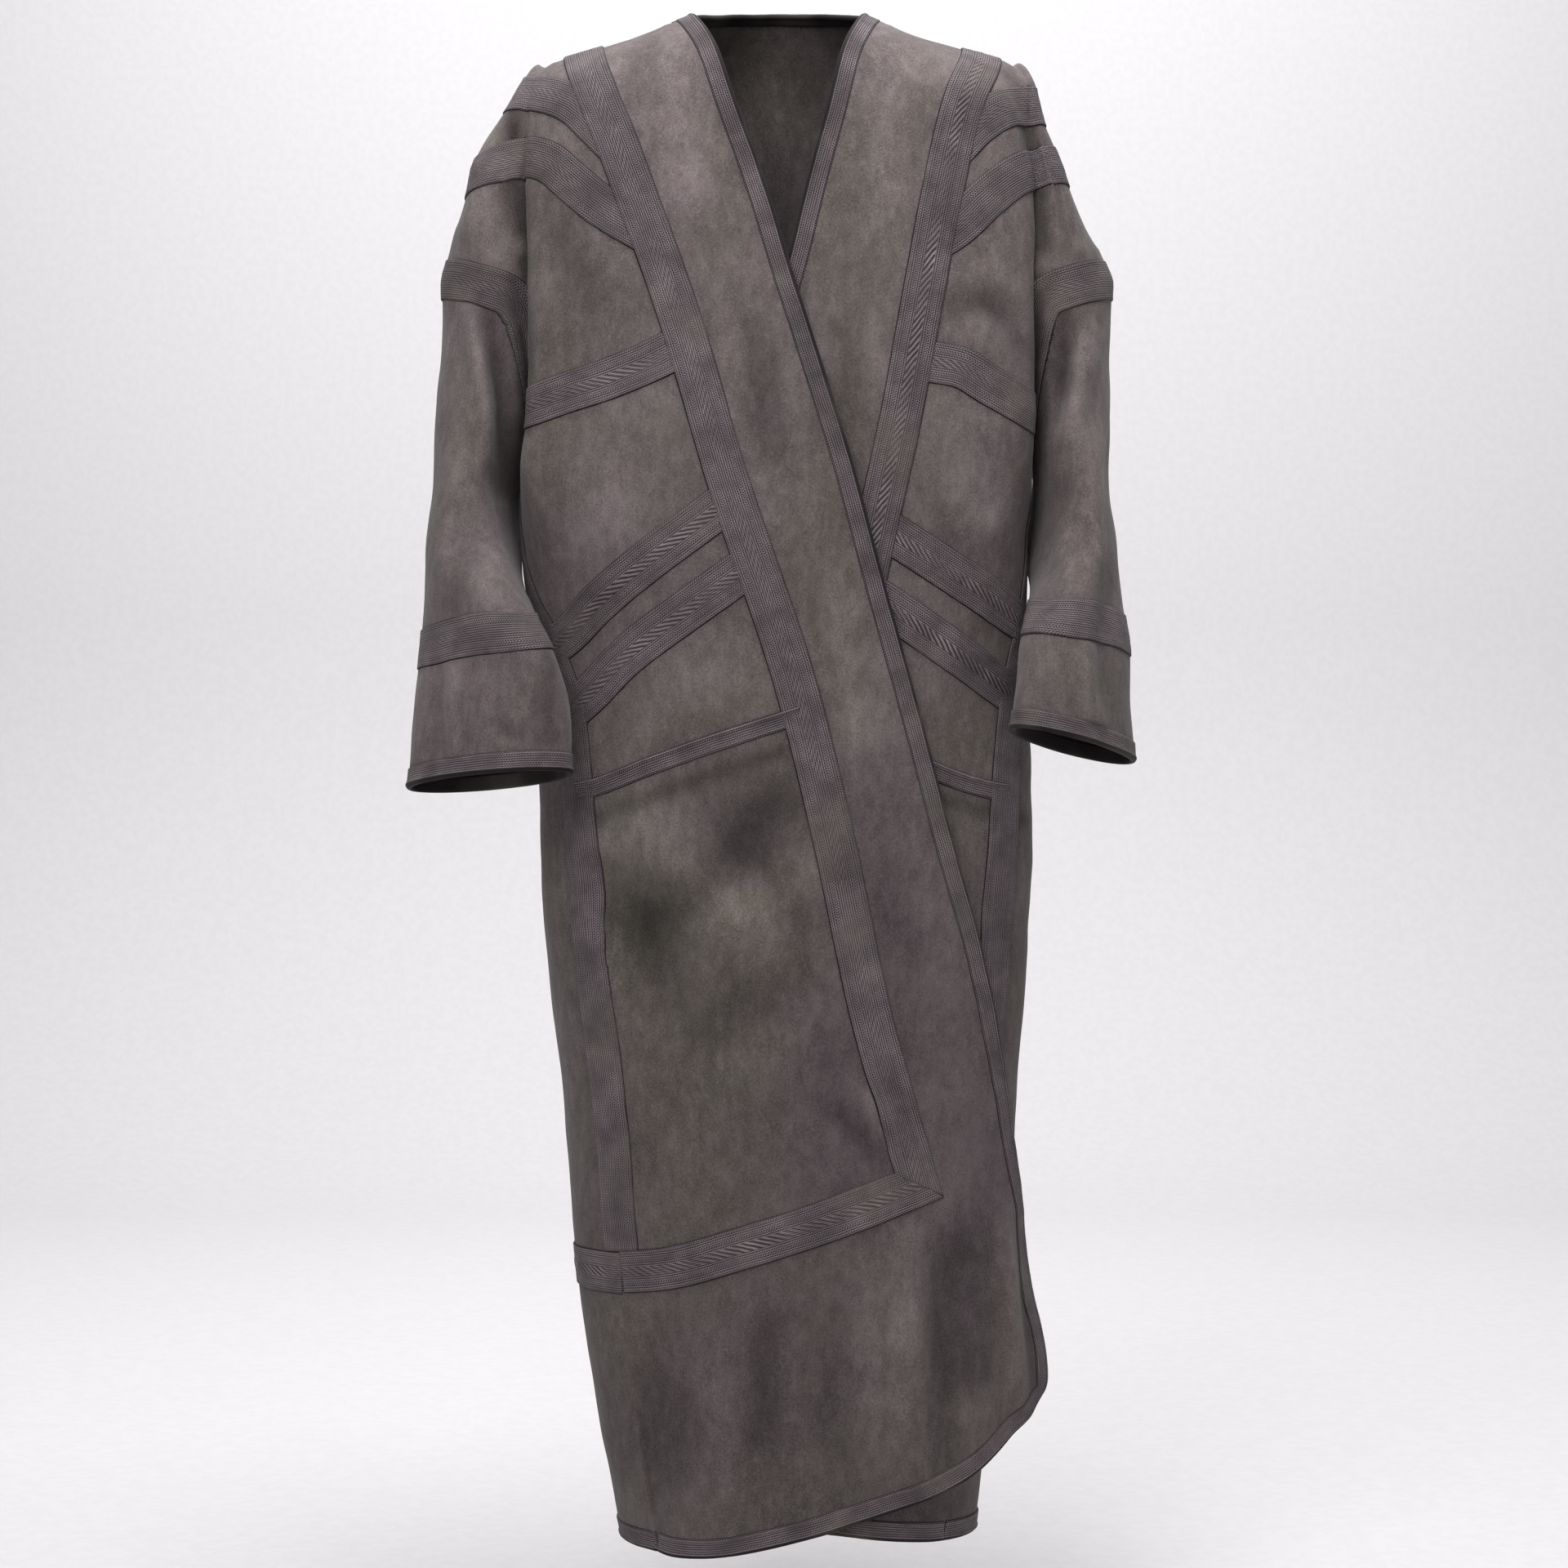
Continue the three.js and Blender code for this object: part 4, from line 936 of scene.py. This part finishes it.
sideBandEnd = -1173  # just under the hem band
wristRings = {  # each wrist band's height, and how far it sinks at the outer side and rises at the back
    "right": {"z": -600, "outer": 6, "back": 4},
    "left": {"z": -586, "outer": 7, "back": 4},
}


def curve(line, count):
    # A smooth line through the given points, as many points along it as asked.
    corners = np.array(line, float)
    lengths = walk(corners)
    slopes = np.gradient(corners, lengths, axis=0)
    marks = np.linspace(0, lengths[-1], count)
    found = []
    for mark in marks:
        i = min(int(np.searchsorted(lengths, mark, side="right")) - 1, len(corners) - 2)
        gap = lengths[i + 1] - lengths[i]
        t = (mark - lengths[i]) / gap
        found.append((2 * t ** 3 - 3 * t ** 2 + 1) * corners[i] + (t ** 3 - 2 * t ** 2 + t) * gap * slopes[i]
                     + (3 * t ** 2 - 2 * t ** 3) * corners[i + 1] + (t ** 3 - t ** 2) * gap * slopes[i + 1])
    return found


def projected(surface, line):
    # A flat line thrown onto the cloth from the front.
    found = [surface.hit(Vector((x * mm, -1, z * mm)), Vector((0, 1, 0))) for x, z in curve(line, 500)]
    return [spot for spot in found if spot is not None]


def levelLine(surface, z):
    # A level line round the back, from the right side seam to the left.
    turns = [radians(60 - 300 * i / 500) for i in range(501)]
    found = [surface.hit(Vector((0, 0, z * mm)), Vector((-cos(turn), -sin(turn), 0))) for turn in turns]
    return [spot for spot in found if spot is not None]


def seamLine(pairs):
    # The edges of the cloth where two sets of pieces meet, as one ordered line.
    first, second = ({pieceNames.index(n) for n in names} for names in pairs)
    owners = {}
    for polygon in whole.polygons:
        for key in polygon.edge_keys:
            owners.setdefault(key, []).append(polygon.material_index)
    links = {}
    for (a, b), found in owners.items():
        if len(found) == 2 and ((found[0] in first and found[1] in second)
                                or (found[1] in first and found[0] in second)):
            links.setdefault(a, []).append(b)
            links.setdefault(b, []).append(a)
    return ordered(links)


def ordered(links):
    # The longest run of linked points, and whether it closes on itself.
    best, left = [], set(links)
    while left:
        ends = [v for v in left if len(links[v]) == 1]
        start = min(ends) if ends else min(left)
        run, current = [start], start
        left.discard(start)
        while True:
            onward = [v for v in links[current] if v in left]
            if not onward:
                break
            current = onward[0]
            left.discard(current)
            run.append(current)
        if len(run) > len(best):
            best = run
    return best, len(links[best[0]]) == 2


shoulderReach = 14  # mm that the shoulder bands run on past the outline
lifts = {"main": 0.7, "hem": 0.7, "backHem": 0.3}  # mm that a band stands over the braid it crosses
mitres = {"right_main_band": 0.88, "right_hem_band": -0.96}  # how far their ends slant where they meet


def addFrontBraid():
    for side in ("right", "left"):
        surface = Surface([f"{side}_front", f"{side}_front_binding"])
        around = Surface([f"{side}_front", f"{side}_sleeve", "back"])
        for part, line in bands[side].items():
            name = f"{side}_{part}_binding" if part == "pocket" else f"{side}_{part}_band"
            spots = projected(surface, line)
            if "shoulder" in part:
                outerLast = side == "left"
                spots = spots if outerLast else spots[::-1]
                spots = walkedOn(around, evenly(spots, False, step["along"] * mm)[0], shoulderReach)
            laySheet(name, around if "shoulder" in part else surface, spots, narrow=part == "pocket",
                     slant=mitres.get(name, 0.0), lift=lifts.get(part, 0.0))
    back = Surface(["back"])
    laySheet("back_hem_band", back, levelLine(back, backHemZ), lift=lifts["backHem"])


def addRoundBraid():
    for side, sign in (("right", -1), ("left", 1)):
        front, back, sleeve = f"{side}_front", "back", f"{side}_sleeve"
        arm = Surface([front, back, sleeve])
        run, closed = seamLine(([sleeve], [front, back]))
        points = [whole.vertices[i].co for i in run]
        laySheet(f"{side}_drop_band", arm, points, closed=closed)
        low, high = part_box(f"{side}_wrist_band")
        ring, middle = wristRings[side], (low + high) / 2
        cuffed = Surface([sleeve])
        points = []
        for i in range(180):
            angle = 2 * pi * i / 180
            z = (ring["z"] - ring["outer"] * cos(angle) + ring["back"] * sin(angle)) * mm
            way = Vector((sign * cos(angle), -sin(angle), 0))
            points.append(cuffed.hit(Vector((middle.x, middle.y, z)), way))
        laySheet(f"{side}_wrist_band", cuffed, [p for p in points if p], closed=True)
        run, _ = seamLine(([front], [back]))
        lower = [whole.vertices[i].co for i in run if sideBandEnd * mm < whole.vertices[i].co.z < -0.42]
        lower.sort(key=lambda p: -p.z)
        body = Surface([front, back])
        laySheet(f"{side}_side_band", body, lower)


# Binding folded over the cloth's free edges

edging = {
    # in mm
    "width": 17.6,
    "proud": 1.5,  # over the cloth
    "lip": {"at": 2.2, "wide": 2.0, "out": 1.1},  # a soft bead beside the edge
    "behind": 13.0,  # how far it reaches in on the inside
    "overrun": 1.6,  # past the seam at each end
    "thick": 3.4,  # from the cloth's outer face to the binding's back
}


def bindingProfile():
    # Across the binding from its inner seam, over the edge, to its back: distance in from the
    # edge, height over the cloth and length of braid, in mm.
    lip, width, proud, thick = edging["lip"], edging["width"], edging["proud"], edging["thick"]
    profile = []
    for inward in width - np.arange(0, width - 0.9, step["across"]):
        rise = min(width - inward, 1) ** 0.5
        bead = lip["out"] * exp(-(((inward - lip["at"]) / lip["wide"]) ** 2))
        profile.append((inward, proud * rise + bead))
    radius = thick / 2 + proud / 2
    centre = (proud - thick) / 2
    for turn in (75, 40, 5, -30, -60, -85):
        profile.append((0.4 - radius * 0.8 * cos(radians(turn)), centre + radius * sin(radians(turn))))
    for inward in (2.5, 5, 8, 11, edging["behind"]):
        profile.append((inward, -thick))
    return profile


def freeEdge(name):
    # The free edge of a bound piece: its ordered points, their normals and the way in from the edge.
    piece = pieceNames.index(name)
    owners = {}
    for polygon in whole.polygons:
        for key in polygon.edge_keys:
            owners.setdefault(key, []).append(polygon.index)
    links, middles = {}, {}
    for (a, b), found in owners.items():
        if len(found) == 1 and whole.polygons[found[0]].material_index == piece:
            links.setdefault(a, []).append(b)
            links.setdefault(b, []).append(a)
            for v in (a, b):
                middles.setdefault(v, []).append(whole.polygons[found[0]].center)
    run, closed = ordered(links)
    points = np.array([tuple(whole.vertices[i].co) for i in run])
    inward = np.array([tuple(sum(middles[i], Vector()) / len(middles[i]) - whole.vertices[i].co) for i in run])
    return points, inward, closed


def addBindings():
    profile = bindingProfile()
    spans = [0.0]
    for (a, b), (c, d) in zip(profile, profile[1:]):
        spans.append(spans[-1] + ((a - c) ** 2 + (b - d) ** 2) ** 0.5)
    for name in bindings:
        side = name.split("_")[0]
        panel = next(panel for panel, over in underBinding.items() if name in over)
        surface = Surface([panel, name])
        points, inward, closed = freeEdge(name)
        line, marks, length = evenly(points, closed, step["along"] * mm)
        if not closed:
            for end, beside in ((0, 1), (-1, -2)):
                away = line[end] - line[beside]
                line[end] += away / np.linalg.norm(away) * edging["overrun"] * mm
        walked, inward = walk(closing(points, closed)), closing(inward, closed)
        ways = np.stack([np.interp(marks, walked, inward[:, k]) for k in range(3)], axis=1)
        line = softened(line, closed, 3)
        ways = softened(ways, closed, 8)
        tangents = directions(line, closed, 5)
        seed = 3.0 + len(name) + (0 if side == "right" else 5)
        rows, floors, uvRows = [], [], []
        for spot, way, tangent, mark in zip(line, ways, tangents, marks):
            base, normal = surface.nearest(Vector(spot))
            along = Vector(tangent).normalized()
            into = Vector(way)
            into = (into - along * into.dot(along) - normal * into.dot(normal)).normalized()
            u = mark / mm
            row, floorRow, uvRow = [], [], []
            sway = 0.25 * seededWave(u, seed)
            for (inn, rise), span in zip(profile, spans):
                if inn > 1.0:
                    point, out = surface.nearest(base + into * (inn * mm))
                else:
                    point, out = base + into * (inn * mm), normal
                bulge = sway if rise > 0.2 else 0
                row.append(point + out * ((rise + bulge) * mm))
                inset = 0.7 if rise > 0 else -0.7
                core = -0.9 if inn <= 1.0 else rise - inset
                depth = max(inn, 0.9)
                floorRow.append((point if inn > 1.0 else base + into * (depth * mm)) + out * (core * mm))
                uvRow.append((u * mm, (span - edging["width"] / 2) * mm))
            rows.append(row)
            floors.append(floorRow)
            uvRows.append(uvRow)
        mesh = gridMesh(f"{name}_braid", rows, uvRows, closed, floors)
        piece = addObject(f"{name}_braid", mesh)
        mesh.materials.append(edgeBraid)
        dress(piece, name)


# Floor and backdrop

studio = {"floor": -1.56, "back": 4.4, "bend": 1.2, "wide": 6.0, "top": 4.0, "front": -4.5}


def plainMaterial(name, rgb, roughness):
    s = Shader(name, roughness=roughness, specular=0.1)
    weave = s.noise(60, 3.0, 0.6)
    colour = s.blend(s.ramp(weave, 0.4, 0.6), toLinear(rgb), toLinear([c - 3 for c in rgb]))
    return s.finish(colour, s.bump(weave, 0.001, 0.3))


def addStudio():
    # one pale sheet, from the floor up the back in a soft bend
    bend, floor = studio["bend"], studio["floor"]
    profile = [(studio["front"], floor)]
    for turn in range(0, 91, 10):
        angle = radians(turn)
        profile.append((studio["back"] - bend + bend * sin(angle), floor + bend * (1 - cos(angle))))
    profile.append((studio["back"], studio["top"]))
    points = [(x, y, z) for y, z in profile for x in (-studio["wide"], studio["wide"])]
    faces = [(2 * i, 2 * i + 1, 2 * i + 3, 2 * i + 2) for i in range(len(profile) - 1)]
    mesh = bpy.data.meshes.new("backdrop")
    mesh.from_pydata(points, [], faces)
    mesh.polygons.foreach_set("use_smooth", [True] * len(faces))
    mesh.materials.append(plainMaterial("paleBackdrop", (206, 204, 206), 0.85))
    backdrop = addObject("backdrop", mesh)


# Making it all

addCamera()
addLamps()
addStudio()
print("stage set")
whole = smoothCloth(gatherCloth())
creaseCloth(whole)
print("cloth smoothed and creased:", len(whole.polygons), "squares")
wideBraid = {
    bold: braidMaterial(f"jacquardBraid{int(bold * 100)}", braidForm["wide"] / 2, braidForm["rope"], bold)
    for bold in sorted(set(ropes.values()))
}
narrowBraid = braidMaterial("pocketBraid", braidForm["narrow"] / 2, 0)
edgeBraid = braidMaterial("edgeBraid", edging["width"] / 2, 0)
addPanels()
print("panels cut")
addFrontBraid()
print("front braid laid")
addRoundBraid()
print("round braid laid")
addBindings()
print("edges bound")
